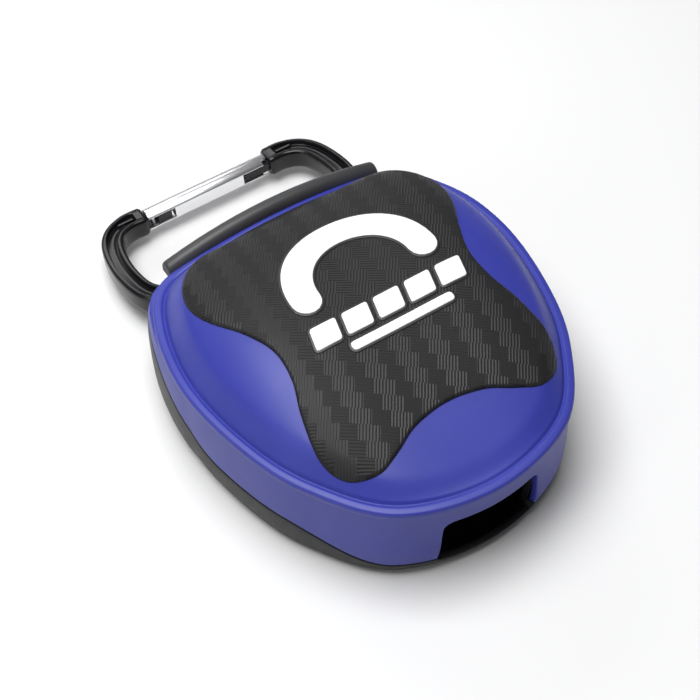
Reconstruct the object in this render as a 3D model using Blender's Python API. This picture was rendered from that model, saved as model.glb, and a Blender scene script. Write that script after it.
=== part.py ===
"""Mouthguard in a pocket case: a domed lid hinged on a black base, with a snap carabiner behind.

Frame: origin on the flat underside, at the middle of the case. +X to the right, -Y to the front
(the thumb window), +Y to the hinge and the carabiner, +Z up. Lengths are written in millimetres
and multiplied by MM, so the scene is in metres.
"""

import math

import bmesh
import bpy
from mathutils import Matrix, Vector

MM = 0.001
GAP = 0.3                      # clearance between neighbouring pieces
AROUND = 48                    # points round the case

# Case, in plan. Half of the rim, from the front centre to the back centre.
RIM_HALF = [(0, -37.2), (19.7, -31.9), (31.4, -17.4), (37.1, -1.9), (39.3, 16.8), (35.8, 33.6),
            (28.4, 44.2), (13.0, 45.23), (0, 45.43)]
CENTRE = Vector((0.0, 5.0))    # the middle of the dome

# Case, in height.
RIM_Z = 25.4                   # crest of the bead round the lid
REAR_RIM_Z = 23.6              # crest at the rear corners
REAR_RISE = 3.0                # how much higher the crest is in the middle of the rear edge
CROWN_RISE = 11.0              # the dome's middle above the crest
BEND_START = 0.84              # share of the way to the rim where the dome starts to bend down
BEND_LENGTH = 0.115            # from there to the crease inside the bead
CREASE_DEPTH = 0.3
BULGE_Z = 11.4                 # height of the widest girth
PART_FRONT_Z = 4.6             # parting line at the window
PART_SIDE_Z = 10.4             # parting line at the sides
PART_REAR_Z = 19.4             # parting line at the hinge
PART_SIDE_SPAN = (22, 24)      # where the line climbs from front to side: start and length along the rim
PART_REAR_SPAN = (64, 28)      # where it climbs from side to rear
FLOOR_Z = 2.0                  # inside of the base
LIP_RISE = 2.3                 # the base's lip behind the lid's skirt
LIP_REAR_RISE = 0.4            # the lip is lower behind, where the lid's corners are low
LID_WALL = 1.6
REAR_WALL = 4.2                # thicker at the hinge
LIP_WALL = 1.5
SHELL = 2.2                    # dome thickness
BEAD_OUT = 0.45                # the bead's outer shoulder, out from and below its crest
BEAD_DROP = 0.35
WALL_DROP = 0.9                # top of the outer wall below the crest
INNER_DROP = 3.2               # top of the inner wall below the crest

# Case wall: how far it stands out from the rim.
FRONT_LEAN = -0.7              # the front leans inwards
SIDE_FLARE = 0.3
CORNER_FLARE = 2.2             # the rear corners bulge
FOOT_TAPER = 2.7               # how far the foot draws in
SIDE_TAPER = 1.0               # how much less it draws in at the sides
FOOT_RINGS = [(0.0, 1.6), (0.4, 0.3), (1.5, 0.0)]          # height, inset
FLOOR_RINGS = [(4.6, 0.0), (3.0, 0.8), (2.2, 2.6), (FLOOR_Z, 4.4)]
WALL_START_Z = 3.0

# Drain slots in the floor, side by side.
DRAIN_SLOTS = 5
DRAIN_Y = 15.0
DRAIN_R = 1.1
DRAIN_PITCH = 7.0
DRAIN_HALF = 9.0
DRAIN_STEP = 1.4               # how much shorter each slot is than its inner neighbour

# Window in the front of the skirt, and the notch that the base has behind it.
WINDOW_TOP_Z = 17.9
WINDOW_TOP_HALF = 11.2
WINDOW_FOOT_Z = 1.0
WINDOW_FOOT_HALF = 12.2
WINDOW_CORNER = 2.6
NOTCH_HALF = 11.2
NOTCH_WALL = 1.3
NOTCH_FLOOR_Z = 2.6
NOTCH_BACK_Y = -27.0

# Grip pad. Half outline, front centre to back centre.
PAD_HALF = [(0, -18.8), (8, -20.0), (14, -22.7), (19.5, -24.3), (24.8, -21.6), (27.3, -15.4),
            (25.9, -7), (23.6, 0), (23.2, 7), (25.6, 14), (29.2, 21.5), (30.5, 28), (28.8, 34.3),
            (24.6, 38.8), (17, 42.0), (8, 43.4), (0, 43.7)]
PAD_TOP = 0.8                  # above the lid's surface
PAD_FOOT = -0.7
PAD_POCKET = -0.2
EMBLEM_TOP = 1.2
EMBLEM_FOOT = 0.1

# Emblem on the pad.
EMBLEM_X = 1.8
ARCH_Y = 13.0
ARCH_OUTER = (17.0, 16.6)
ARCH_INNER = (10.6, 10.0)
BLOCKS = 5
BLOCK_PITCH = 7.4
BLOCK_SIZE = (6.0, 5.0)
BLOCK_Y = 4.2
BLOCK_SLANT = 1.2
STRIPE_SIZE = (24.0, 2.0)
STRIPE_Y = -0.9

# Rear grip bar.
BAR_HALF = 26.2
BAR_FRONT_Y = 44.9
BAR_REAR_Y = 48.9
BAR_FOOT_Z = 21.0
BAR_TOP_Z = 24.6
BAR_ARCH = 4.0                 # how much the bar's middle stands above its ends
BAR_SHOULDER = 1.3             # height of its square foot

# Case hinge.
HINGE_Y = 49.3
HINGE_Z = 18.9
KNUCKLE_R = 2.6
PIN_R = 1.0
KNUCKLE_EDGES = (8.0, 14.2, 19.0)   # centre knuckle | lid knuckle | outer knuckle
LID_WEB_Z = 21.9
WEB_FRONT_Y = 43.6              # the knuckles' webs start inside the case's wall
WEB_SIDE = 0.25                # the webs are a little narrower than the knuckles
REAR_WEB_HALF = 20.0
REAR_WEB_Y = (44.2, 47.6)

# Lug for the carabiner.
SPINE_Y = 48.9
SPINE_Z = 8.3
LUG_HALF = 6.0
LUG_R = 5.1
LUG_BORE_R = 3.4
LUG_ROOT_Y = 42.6
LUG_ROOT_HALF_Z = 4.3

# Carabiner, in its own plane: u across, v from the spine to the gate, w up.
LOOP_HALF = [(0, 0), (15.5, 0), (22.4, 1.1), (27.0, 5.2), (28.2, 13.0), (27.1, 20.8), (24.7, 25.2),
             (20.6, 27.2), (16.1, 27.2)]
LOOP_V = 27.2
LOOP_SLIDE = -1.0              # the loop lies a little to the left in its lug
LOOP_TILT = math.radians(-6.3)
ROD = 2.5                      # half of the section
FLANGE = 1.3
CHANNEL_DEPTH = 1.1
GATE_R = 2.45
GATE_HALF = 15.8
GATE_FLAT_V = -1.9             # flat on the gate's inner side
GATE_PIN_U = 14.2
GATE_PIN_R = 0.7
TONGUE = 1.05                  # half thickness
TONGUE_TIP_U = 10.4
FORK = 1.4                     # half width of the gate's slots
FORK_END_U = 9.0
SPRING_R = 0.65
SPRING_WIRE = 0.16
SPRING_TURNS = 7
TONGUE_HALF_V = 1.5
# Along the gate from its pivot pin:
SPRING_BORE_U = -13.5
SPRING_U = (-13.0, -7.0)
PLUNGER_U = (-6.6, -4.5)
GATE_HEEL_U = 0.2              # the heel is cut away beyond this, so that the gate can turn
GATE_HEEL_V = -0.7

# Mouthguard: a trough that follows a dental arch.
GUARD_LEG_X = 22.0
GUARD_FRONT_Y = -20.0
GUARD_REAR_Y = 22.0
GUARD_ARC_Y = 0.0
GUARD_FLOOR_Z = 4.4
FRAME_HALF = 6.6
FRAME_TOP = 12.4
FRAME_WALL = 1.7
FRAME_FLOOR = 2.2
LINER_WALL = 1.5
LINER_TOP = 11.4
LINER_FLOOR = 1.6


def make_collections():
    """Empty the scene and return the collections for the parts and for the tools that cut them."""
    for old in list(bpy.data.objects):
        bpy.data.objects.remove(old, do_unlink=True)
    parts = bpy.data.collections.new("mouthguard_case")
    tools = bpy.data.collections.new("cutters")
    for collection in (parts, tools):
        bpy.context.scene.collection.children.link(collection)
    return parts, tools


PARTS, TOOLS = make_collections()


def material(name, colour, roughness, metallic=0.0):
    """A Principled BSDF material."""
    finish = bpy.data.materials.new(name)
    finish.use_nodes = True
    shader = finish.node_tree.nodes["Principled BSDF"]
    shader.inputs["Base Color"].default_value = (*colour, 1.0)
    shader.inputs["Roughness"].default_value = roughness
    shader.inputs["Metallic"].default_value = metallic
    return finish


def as_part(thing, finish, smooth=35):
    """Name the object as a finished part: its collection, material and shading."""
    PARTS.objects.link(thing)
    thing.data.materials.clear()
    thing.data.materials.append(finish)
    thing.data.shade_smooth()
    thing.data.set_sharp_from_angle(angle=math.radians(smooth))
    return thing


def as_tool(thing):
    """Keep the object as a cutter or guide, out of the finished model."""
    TOOLS.objects.link(thing)
    thing.hide_render = True
    thing.display_type = "WIRE"
    return thing


def mesh_object(name, shape):
    """Turn a bmesh that is in millimetres into an object in metres."""
    bmesh.ops.recalc_face_normals(shape, faces=shape.faces)
    bmesh.ops.scale(shape, vec=(MM, MM, MM), verts=shape.verts)
    data = bpy.data.meshes.new(name)
    shape.to_mesh(data)
    shape.free()
    return bpy.data.objects.new(name, data)


def join_shape(target, tool, operation):
    """Add a Boolean of the tool to the target."""
    step = target.modifiers.new(operation.lower() + "_" + tool.name, "BOOLEAN")
    step.operation = operation
    step.solver = "EXACT"
    step.object = tool


def box(name, low, high):
    """A box between two corners."""
    shape = bmesh.new()
    bmesh.ops.create_cube(shape, size=1.0)
    size = Vector(high) - Vector(low)
    middle = (Vector(high) + Vector(low)) / 2
    bmesh.ops.scale(shape, vec=size, verts=shape.verts)
    bmesh.ops.translate(shape, vec=middle, verts=shape.verts)
    return mesh_object(name, shape)


def rod(name, radius, start, end, sides=24):
    """A straight round rod from start to end."""
    start, end = Vector(start), Vector(end)
    turn = (end - start).to_track_quat("Z", "Y").to_matrix().to_4x4()
    place = Matrix.Translation((start + end) / 2) @ turn
    shape = bmesh.new()
    bmesh.ops.create_cone(shape, cap_ends=True, segments=sides, radius1=radius, radius2=radius,
                          depth=(end - start).length, matrix=place)
    return mesh_object(name, shape)


def from_curve(name, curve):
    """Turn a curve into a closed mesh object and remove the curve."""
    holder = bpy.data.objects.new(name + "_curve", curve)
    bpy.context.scene.collection.objects.link(holder)
    bpy.context.view_layer.update()
    graph = bpy.context.evaluated_depsgraph_get()
    data = bpy.data.meshes.new_from_object(holder.evaluated_get(graph))
    place = holder.matrix_world.copy()
    bpy.data.objects.remove(holder, do_unlink=True)
    shape = bmesh.new()
    shape.from_mesh(data)
    bmesh.ops.remove_doubles(shape, verts=shape.verts, dist=0.00001)
    bmesh.ops.recalc_face_normals(shape, faces=shape.faces)
    shape.to_mesh(data)
    shape.free()
    data.name = name
    thing = bpy.data.objects.new(name, data)
    thing.matrix_world = place
    return thing


def add_spline(curve, points, closed):
    """A straight-sided spline through points in millimetres."""
    spline = curve.splines.new("POLY")
    spline.points.add(len(points) - 1)
    for knot, point in zip(spline.points, points):
        knot.co = (*(Vector(point).to_3d() * MM), 1.0)
    spline.use_cyclic_u = closed
    return spline


def prism(name, outlines, low, high):
    """Flat outlines, filled and extruded between two heights."""
    curve = bpy.data.curves.new(name, "CURVE")
    curve.dimensions = "2D"
    curve.fill_mode = "BOTH"
    curve.extrude = (high - low) / 2 * MM
    for outline in outlines:
        add_spline(curve, outline, True)
    thing = from_curve(name, curve)
    lift = Matrix.Translation((0, 0, (high + low) / 2 * MM))
    thing.data.transform(lift)
    return thing


def smooth_step(value):
    """0 below 0, 1 above 1, and an S-shaped ramp between."""
    value = min(1.0, max(0.0, value))
    return value * value * (3 - 2 * value)


def spline_through(points, closed, steps=12):
    """A Catmull-Rom curve through the points."""
    knots = [Vector(point) for point in points]
    count = len(knots)
    spans = count if closed else count - 1
    path = []
    for span in range(spans):
        if closed:
            a, b, c, d = (knots[(span + shift) % count] for shift in (-1, 0, 1, 2))
        else:
            b, c = knots[span], knots[span + 1]
            a = knots[span - 1] if span else b * 2 - c
            d = knots[span + 2] if span + 2 < count else c * 2 - b
        for step in range(steps):
            t = step / steps
            path.append(0.5 * (2 * b + (c - a) * t + (2 * a - 5 * b + 4 * c - d) * t ** 2
                               + (3 * b - a - 3 * c + d) * t ** 3))
    if not closed:
        path.append(knots[-1])
    return path


def even_points(path, count, closed):
    """Points at even distances along a path."""
    if closed:
        path = path + [path[0]]
    lengths = [0.0]
    for start, end in zip(path, path[1:]):
        lengths.append(lengths[-1] + (end - start).length)
    spans = count if closed else count - 1
    result = []
    place = 0
    for index in range(count):
        target = lengths[-1] * index / spans
        while place < len(path) - 2 and lengths[place + 1] < target:
            place += 1
        part = (target - lengths[place]) / (lengths[place + 1] - lengths[place])
        result.append(path[place].lerp(path[place + 1], part))
    return result


def mirrored(half):
    """A closed outline from its right half."""
    left = [(-x, y) for x, y in reversed(half[1:-1])]
    return list(half) + left


def normals_of(points):
    """Outward normals of a closed outline that runs anticlockwise."""
    count = len(points)
    result = []
    for index in range(count):
        along = points[(index + 1) % count] - points[index - 1]
        result.append(Vector((along.y, -along.x)).normalized())
    return result


def grown(outline, margin):
    """A closed outline moved outwards by the margin."""
    points = [Vector(point) for point in outline]
    return [point + normal * margin for point, normal in zip(points, normals_of(points))]


RIM = even_points(spline_through(mirrored(RIM_HALF), True), AROUND, True)
RIM_OUT = normals_of(RIM)


def arch(x):
    """An arch over the rear edge: 1 in the middle and 0 at the bar's ends and beyond."""
    return max(0.0, 1 - (x / BAR_HALF) ** 2)


def rim_height(point):
    """Height of the bead's crest, which changes over the last 20 mm towards the rear."""
    rear = smooth_step((point.y - 24) / 19)
    return RIM_Z * (1 - rear) + (REAR_RIM_Z + REAR_RISE * arch(point.x)) * rear


def crown(point):
    """Height of the dome's surface before it meets the rim: a polynomial of the place in plan."""
    u = point.x / 38
    v = (point.y - 5) / 41
    across = 2.4 * u ** 2 - 12.2 * u ** 4 + 2.2 * u ** 2 * v
    along = 3.8 * v - 10.6 * v ** 2 - 3.1 * v ** 3
    return RIM_Z + CROWN_RISE + across + along


def dome_point(index, share):
    """A point of the lid's upper surface, share of the way from the dome's middle to the rim.

    The dome keeps its shape most of the way, then bends down to a crease inside the bead.
    """
    edge = RIM[index]
    plan = CENTRE.lerp(edge, share)
    hold = 1 - min(1.0, max(0.0, share - BEND_START) / BEND_LENGTH) ** 2
    crest = rim_height(edge)
    groove = CREASE_DEPTH * (abs(share - BEND_START - BEND_LENGTH) < 0.01)
    return Vector((plan.x, plan.y, crest + (crown(plan) - crest) * hold - groove))


def side_offset(index, height):
    """Distance of the outer wall from the rim, in plan, at a height."""
    out = RIM_OUT[index]
    front = FRONT_LEAN * max(0.0, -out.y) ** 1.5
    side = SIDE_FLARE * abs(out.x) ** 1.5
    corner = CORNER_FLARE * 2 * abs(out.x) * max(0.0, out.y)
    bulge = front + side + corner
    if height > BULGE_Z:
        return bulge * (1 - ((height - BULGE_Z) / (RIM_Z - BULGE_Z)) ** 2.6)
    taper = FOOT_TAPER - SIDE_TAPER * abs(out.x)
    return bulge - taper * ((BULGE_Z - height) / BULGE_Z) ** 2.6


def side_point(index, height, inset=0.0):
    """A point on the case's side wall, moved inwards by the inset."""
    plan = RIM[index] + RIM_OUT[index] * (side_offset(index, height) - inset)
    return Vector((plan.x, plan.y, height))


def lid_wall(index):
    """Thickness of the lid's skirt, which grows towards the hinge."""
    return LID_WALL + (REAR_WALL - LID_WALL) * smooth_step((RIM[index].y - 30) / 13)


def parting_heights():
    """Height of the parting line at each point round the case."""
    girth = sum((RIM[i] - RIM[i - 1]).length for i in range(AROUND))
    heights = []
    for index in range(AROUND):
        along = girth / AROUND * min(index, AROUND - index)
        side = smooth_step((along - PART_SIDE_SPAN[0]) / PART_SIDE_SPAN[1])
        rear = smooth_step((along - PART_REAR_SPAN[0]) / PART_REAR_SPAN[1])
        heights.append(PART_FRONT_Z + (PART_SIDE_Z - PART_FRONT_Z) * side
                       + (PART_REAR_Z - PART_SIDE_Z) * rear)
    return heights


PARTING = parting_heights()


def loft(name, rings, start, end):
    """A closed body through rings of points, with a point that closes each end."""
    shape = bmesh.new()
    loops = [[shape.verts.new(point) for point in ring] for ring in rings]
    for lower, upper in zip(loops, loops[1:]):
        for index in range(len(lower)):
            after = (index + 1) % len(lower)
            shape.faces.new((lower[index], lower[after], upper[after], upper[index]))
    for loop, point in ((loops[0], start), (loops[-1], end)):
        tip = shape.verts.new(point)
        for index in range(len(loop)):
            shape.faces.new((loop[index], loop[(index + 1) % len(loop)], tip))
    return mesh_object(name, shape)


def ring(rule):
    """One ring of points round the case, from a rule for each index."""
    return [rule(index) for index in range(AROUND)]


def dome_slab(name, low, high):
    """A sheet that follows the dome between two offsets from its surface."""
    shares = (0.2, 0.4, 0.57, 0.72, 0.82, 0.88, 0.93, 0.97)
    rings = [ring(lambda i, s=s: dome_point(i, s) + Vector((0, 0, high))) for s in shares]
    rings += [ring(lambda i, s=s: dome_point(i, s) + Vector((0, 0, low))) for s in reversed(shares)]
    middle = Vector((CENTRE.x, CENTRE.y, crown(CENTRE)))
    return loft(name, rings, middle + Vector((0, 0, high)), middle + Vector((0, 0, low)))


def rounded_outline(corners, radius, steps=4):
    """A polygon with each corner replaced by a curve of about the radius."""
    count = len(corners)
    result = []
    for index in range(count):
        here = Vector(corners[index])
        before = (Vector(corners[index - 1]) - here).normalized() * radius
        after = (Vector(corners[(index + 1) % count]) - here).normalized() * radius
        for step in range(steps + 1):
            t = step / steps
            result.append(here + before * (1 - t) ** 2 + after * t ** 2)
    return result


def pad_outline():
    """Outline of the grip pad."""
    return even_points(spline_through(mirrored(PAD_HALF), True), 60, True)


def arch_outline():
    """A plain horseshoe, open to the front, with round feet."""
    def bow(x, size_x, size_y, turns):
        return [(x + size_x * math.cos(a), ARCH_Y + size_y * math.sin(a)) for a in turns]

    half_turn = [math.pi * step / 16 for step in range(17)]
    foot_turn = [math.pi * step / 6 for step in range(1, 6)]
    foot = (ARCH_OUTER[0] - ARCH_INNER[0]) / 2
    middle = (ARCH_OUTER[0] + ARCH_INNER[0]) / 2
    outer = bow(EMBLEM_X, ARCH_OUTER[0], ARCH_OUTER[1], half_turn)
    inner = bow(EMBLEM_X, ARCH_INNER[0], ARCH_INNER[1], half_turn)
    left = bow(EMBLEM_X - middle, -foot, -foot, foot_turn)
    right = bow(EMBLEM_X + middle, -foot, -foot, foot_turn)
    return outer + left + inner[::-1] + right


def block_outline(index):
    """One of the plain slanted blocks in the row under the horseshoe."""
    x = EMBLEM_X + (index - (BLOCKS - 1) / 2) * BLOCK_PITCH
    half_x, half_y = BLOCK_SIZE[0] / 2, BLOCK_SIZE[1] / 2
    slant = BLOCK_SLANT / 2
    corners = [(x - half_x - slant, BLOCK_Y - half_y), (x + half_x - slant, BLOCK_Y - half_y),
               (x + half_x + slant, BLOCK_Y + half_y), (x - half_x + slant, BLOCK_Y + half_y)]
    return rounded_outline(corners, 0.6, 2)


def stripe_outline():
    """The thin stripe under the blocks."""
    half_x, half_y = STRIPE_SIZE[0] / 2, STRIPE_SIZE[1] / 2
    corners = [(EMBLEM_X - half_x, STRIPE_Y - half_y), (EMBLEM_X + half_x, STRIPE_Y - half_y),
               (EMBLEM_X + half_x, STRIPE_Y + half_y), (EMBLEM_X - half_x, STRIPE_Y + half_y)]
    return rounded_outline(corners, 0.9, 3)


def emblem_outlines():
    """Every emblem piece's name and outline."""
    pieces = {"emblem_arch": arch_outline()}
    for index in range(BLOCKS):
        pieces["emblem_block_%d" % (index + 1)] = block_outline(index)
    pieces["emblem_stripe"] = stripe_outline()
    return pieces


def on_dome(name, outlines, low, high):
    """A sheet on the dome that is cut to the outlines."""
    sheet = dome_slab(name, low, high)
    join_shape(sheet, as_tool(prism(name + "_prism", outlines, 10, 50)), "INTERSECT")
    return sheet


def anticlockwise(outline):
    """The outline, turned round if it runs clockwise."""
    area = sum(a[0] * b[1] - b[0] * a[1] for a, b in zip(outline, outline[1:] + outline[:1]))
    return outline if area > 0 else outline[::-1]


def bar_section(margin):
    """Section of the rear bar: square foot, half-round top."""
    half = (BAR_REAR_Y - BAR_FRONT_Y) / 2 + margin
    top = BAR_TOP_Z - BAR_FOOT_Z + margin
    section = [(-half, -margin), (half, -margin)]
    for step in range(7):
        angle = math.pi * step / 6
        section.append((half * math.cos(angle), BAR_SHOULDER + (top - BAR_SHOULDER) * math.sin(angle)))
    return section


def bar_shape(name, margin):
    """The rear bar, arched along its length."""
    stations = 13
    reach = BAR_HALF + margin
    middle = (BAR_FRONT_Y + BAR_REAR_Y) / 2
    rings = []
    for step in range(stations):
        x = -reach + 2 * reach * step / (stations - 1)
        lift = BAR_FOOT_Z + BAR_ARCH * arch(x)
        rings.append([Vector((x, middle + y, lift + z)) for y, z in bar_section(margin)])
    start = Vector((-reach, middle, BAR_FOOT_Z + BAR_SHOULDER))
    return loft(name, rings, start, start + Vector((2 * reach, 0, 0)))


def knuckle_set(name, spans, web_low, web_high):
    """Hinge knuckles over the spans in X, each with a web to the case's wall."""
    tools = []
    for index, (start, end) in enumerate(spans):
        axis = [(x, HINGE_Y, HINGE_Z) for x in (start, end)]
        web_start = (start + WEB_SIDE, WEB_FRONT_Y, web_low)
        web_end = (end - WEB_SIDE, HINGE_Y - 0.45, web_high)
        tools.append(as_tool(rod("%s_barrel_%d" % (name, index), KNUCKLE_R, *axis)))
        tools.append(as_tool(box("%s_web_%d" % (name, index), web_start, web_end)))
    return tools


def hinge_bore(name):
    """The hole for the hinge pin."""
    reach = KNUCKLE_EDGES[2] + 2
    return as_tool(rod(name, PIN_R + GAP, (-reach, HINGE_Y, HINGE_Z), (reach, HINGE_Y, HINGE_Z), 16))


def base_loft():
    """The base's shell: foot, outer wall, lip, inner wall and floor."""
    def top(i):
        return PARTING[i] - GAP

    def outer(share):
        return ring(lambda i: side_point(i, WALL_START_Z + (top(i) - WALL_START_Z) * share))

    def rise(i):
        return LIP_RISE + (LIP_REAR_RISE - LIP_RISE) * smooth_step((RIM[i].y - 16) / 13)

    def lip(share, extra):
        return ring(lambda i: side_point(i, top(i) + rise(i) * share, lid_wall(i) + GAP + extra))

    def inner(height, extra):
        return ring(lambda i: side_point(i, height, lid_wall(i) + GAP + LIP_WALL + extra))

    rings = [ring(lambda i, z=z, d=d: side_point(i, z, d)) for z, d in FOOT_RINGS]
    rings += [outer(share) for share in (0.0, 0.35, 0.7, 1.0)]
    rings += [lip(0.0, 0.0), lip(1.0, 0.0), lip(1.0, LIP_WALL)]
    rings += [inner(height, extra) for height, extra in FLOOR_RINGS]
    middle = CENTRE.to_3d()
    return loft("base_shell", rings, middle, middle + Vector((0, 0, FLOOR_Z)))


def notch_cutter():
    """What the base lacks behind the window: its lip and the inner part of its wall."""
    front = []
    for index in range(-4, 5):
        point = side_point(index, PARTING[index], NOTCH_WALL)
        front.append(Vector((point.x, point.y)))
    inside = [point for point in front if abs(point.x) < NOTCH_HALF]
    left = front[front.index(inside[0]) - 1]
    slope = (-NOTCH_HALF - left.x) / (inside[0].x - left.x)
    end = left.lerp(inside[0], slope)
    outline = [(-NOTCH_HALF, NOTCH_BACK_Y), (-NOTCH_HALF, end.y)] + inside
    outline += [(NOTCH_HALF, end.y), (NOTCH_HALF, NOTCH_BACK_Y)]
    return as_tool(prism("notch_cutter", [outline], NOTCH_FLOOR_Z, RIM_Z))


def lug_tools():
    """The eye for the carabiner's spine, its root on the case, and its bore."""
    def spine(reach):
        return [(x, SPINE_Y, SPINE_Z) for x in (-reach, reach)]

    low = (0.4 - LUG_HALF, LUG_ROOT_Y, SPINE_Z - LUG_ROOT_HALF_Z)
    high = (LUG_HALF - 0.4, SPINE_Y - GAP, SPINE_Z + LUG_ROOT_HALF_Z)
    eye = as_tool(rod("lug_ring", LUG_R, *spine(LUG_HALF), 28))
    root = as_tool(box("lug_root", low, high))
    bore = as_tool(rod("lug_bore", LUG_BORE_R, *spine(LUG_HALF + 3), 28))
    return eye, root, bore


def build_base():
    """The black lower shell, with its lip, hinge knuckles and carabiner lug."""
    base = base_loft()
    join_shape(base, notch_cutter(), "DIFFERENCE")
    inner_edge, lid_edge, outer_edge = KNUCKLE_EDGES
    beside = lid_edge + GAP / 2
    spans = [(-outer_edge, -beside), (-inner_edge, inner_edge), (beside, outer_edge)]
    for tool in knuckle_set("base_knuckle", spans, HINGE_Z - KNUCKLE_R + 0.5, HINGE_Z - 0.1):
        join_shape(base, tool, "UNION")
    join_shape(base, hinge_bore("base_hinge_bore"), "DIFFERENCE")
    eye, root, bore = lug_tools()
    join_shape(base, eye, "UNION")
    join_shape(base, root, "UNION")
    join_shape(base, bore, "DIFFERENCE")
    for index in range(DRAIN_SLOTS):
        place = index - (DRAIN_SLOTS - 1) / 2
        outline = stadium(place * DRAIN_PITCH, DRAIN_Y, DRAIN_R, DRAIN_HALF - DRAIN_STEP * abs(place))
        slot = prism("drain_slot_%d" % index, [outline], -FLOOR_Z, 2 * FLOOR_Z)
        join_shape(base, as_tool(slot), "DIFFERENCE")
    return as_part(base, material("base_black", (0.028, 0.029, 0.032), 0.55))


def stadium(x, y, radius, half):
    """A slot outline with round ends, long in Y."""
    points = []
    for end, start_angle in ((half - radius, 0.0), (radius - half, math.pi)):
        for step in range(7):
            angle = start_angle + math.pi * step / 6
            points.append((x + radius * math.cos(angle), y + end + radius * math.sin(angle)))
    return points


def lid_loft():
    """The lid's shell: dome, bead, outer wall, inner wall and the inside of the dome."""
    def crest(i):
        return rim_height(RIM[i])

    def wall(share):
        return ring(lambda i: side_point(i, PARTING[i] + (crest(i) - WALL_DROP - PARTING[i]) * share))

    def inner_wall(share):
        def rule(i):
            height = PARTING[i] + (crest(i) - INNER_DROP - PARTING[i]) * share
            return side_point(i, height, lid_wall(i))
        return ring(rule)

    def inner_dome(share):
        def rule(i):
            edge = RIM[i] - RIM_OUT[i] * (lid_wall(i) + 0.8)
            plan = CENTRE.lerp(edge, share)
            height = min(crown(plan), dome_point(i, share).z) - SHELL
            return Vector((plan.x, plan.y, height))
        return ring(rule)

    def bead(i):
        plan = RIM[i] + RIM_OUT[i] * BEAD_OUT
        return Vector((plan.x, plan.y, crest(i) - BEAD_DROP))

    crease = BEND_START + BEND_LENGTH
    shares = (0.2, 0.4, 0.57, 0.72, 0.82, 0.88, 0.93, crease, 0.98)
    rings = [ring(lambda i, s=s: dome_point(i, s)) for s in shares]
    rings += [ring(lambda i: Vector((RIM[i].x, RIM[i].y, crest(i)))), ring(bead)]
    rings += [wall(share) for share in (1.0, 0.66, 0.33, 0.0)]
    rings += [inner_wall(share) for share in (0.0, 0.5, 1.0)]
    rings += [inner_dome(share) for share in (0.93, 0.78, 0.55, 0.28)]
    middle = Vector((CENTRE.x, CENTRE.y, crown(CENTRE)))
    return loft("lid_shell", rings, middle, middle - Vector((0, 0, SHELL)))


def window_cutter():
    """The window through the front of the skirt."""
    window = [(-WINDOW_FOOT_HALF, WINDOW_FOOT_Z), (WINDOW_FOOT_HALF, WINDOW_FOOT_Z),
              (WINDOW_TOP_HALF, WINDOW_TOP_Z), (-WINDOW_TOP_HALF, WINDOW_TOP_Z)]
    cutter = prism("window_cutter", [rounded_outline(window, WINDOW_CORNER)], 28, 44)
    cutter.data.transform(Matrix.Rotation(math.pi / 2, 4, "X"))
    return as_tool(cutter)


def rear_web():
    """The wall under the bar that carries the lid's knuckles."""
    low = LID_WEB_Z - 0.5
    outline = [(-REAR_WEB_HALF, low), (REAR_WEB_HALF, low)]
    for step in range(9):
        x = REAR_WEB_HALF - REAR_WEB_HALF * step / 4
        outline.append((x, BAR_FOOT_Z - GAP + BAR_ARCH * arch(x)))
    web = prism("rear_web", [outline], -REAR_WEB_Y[1], -REAR_WEB_Y[0])
    web.data.transform(Matrix.Rotation(math.pi / 2, 4, "X"))
    return as_tool(web)


def build_lid():
    """The blue domed lid, with its bead, skirt, window and hinge knuckles."""
    lid = lid_loft()
    join_shape(lid, window_cutter(), "DIFFERENCE")
    pocket = as_tool(on_dome("pad_pocket", [grown(pad_outline(), GAP)], PAD_FOOT - GAP, 6.0))
    join_shape(lid, pocket, "DIFFERENCE")
    join_shape(lid, rear_web(), "UNION")
    inner_edge, lid_edge, _ = KNUCKLE_EDGES
    start, end = inner_edge + GAP, lid_edge - GAP / 2
    spans = [(-end, -start), (start, end)]
    for tool in knuckle_set("lid_knuckle", spans, PART_REAR_Z + GAP, LID_WEB_Z + 0.6):
        join_shape(lid, tool, "UNION")
    join_shape(lid, hinge_bore("lid_hinge_bore"), "DIFFERENCE")
    join_shape(lid, as_tool(bar_shape("bar_rebate", GAP)), "DIFFERENCE")
    return as_part(lid, material("lid_blue", (0.035, 0.045, 0.42), 0.36))


def build_pad_and_emblem():
    """The rubber grip pad and the raised pieces set in its pockets."""
    pad = on_dome("lid_grip_pad", [pad_outline()], PAD_FOOT, PAD_TOP)
    white = material("emblem_white", (0.86, 0.86, 0.87), 0.5)
    pockets = []
    for name, outline in emblem_outlines().items():
        outline = anticlockwise(outline)
        as_part(on_dome(name, [outline], EMBLEM_FOOT, EMBLEM_TOP), white)
        pockets.append(grown(outline, GAP))
    join_shape(pad, as_tool(on_dome("emblem_pockets", pockets, PAD_POCKET, 6.0)), "DIFFERENCE")
    as_part(pad, material("pad_rubber", (0.035, 0.035, 0.037), 0.68))
    as_part(bar_shape("rear_grip_bar", 0.0), material("bar_rubber", (0.03, 0.03, 0.032), 0.6))


def build_hinge_pin():
    """The steel pin of the case hinge."""
    reach = KNUCKLE_EDGES[2]
    pin = rod("hinge_pin", PIN_R, (-reach, HINGE_Y, HINGE_Z), (reach, HINGE_Y, HINGE_Z), 16)
    as_part(pin, material("pin_steel", (0.6, 0.6, 0.62), 0.3, 1.0))


def channel_section():
    """The carabiner's section: a rounded square with a channel in its upper and lower faces."""
    lip = ROD - FLANGE
    quarter = [(lip, ROD - CHANNEL_DEPTH), (lip + 0.25, ROD - 0.2), (ROD - 0.9, ROD),
               (ROD - 0.25, ROD - 0.3), (ROD, ROD - 1.1)]
    right = quarter + [(x, -y) for x, y in reversed(quarter)]
    return right + [(-x, -y) for x, y in right]


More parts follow.
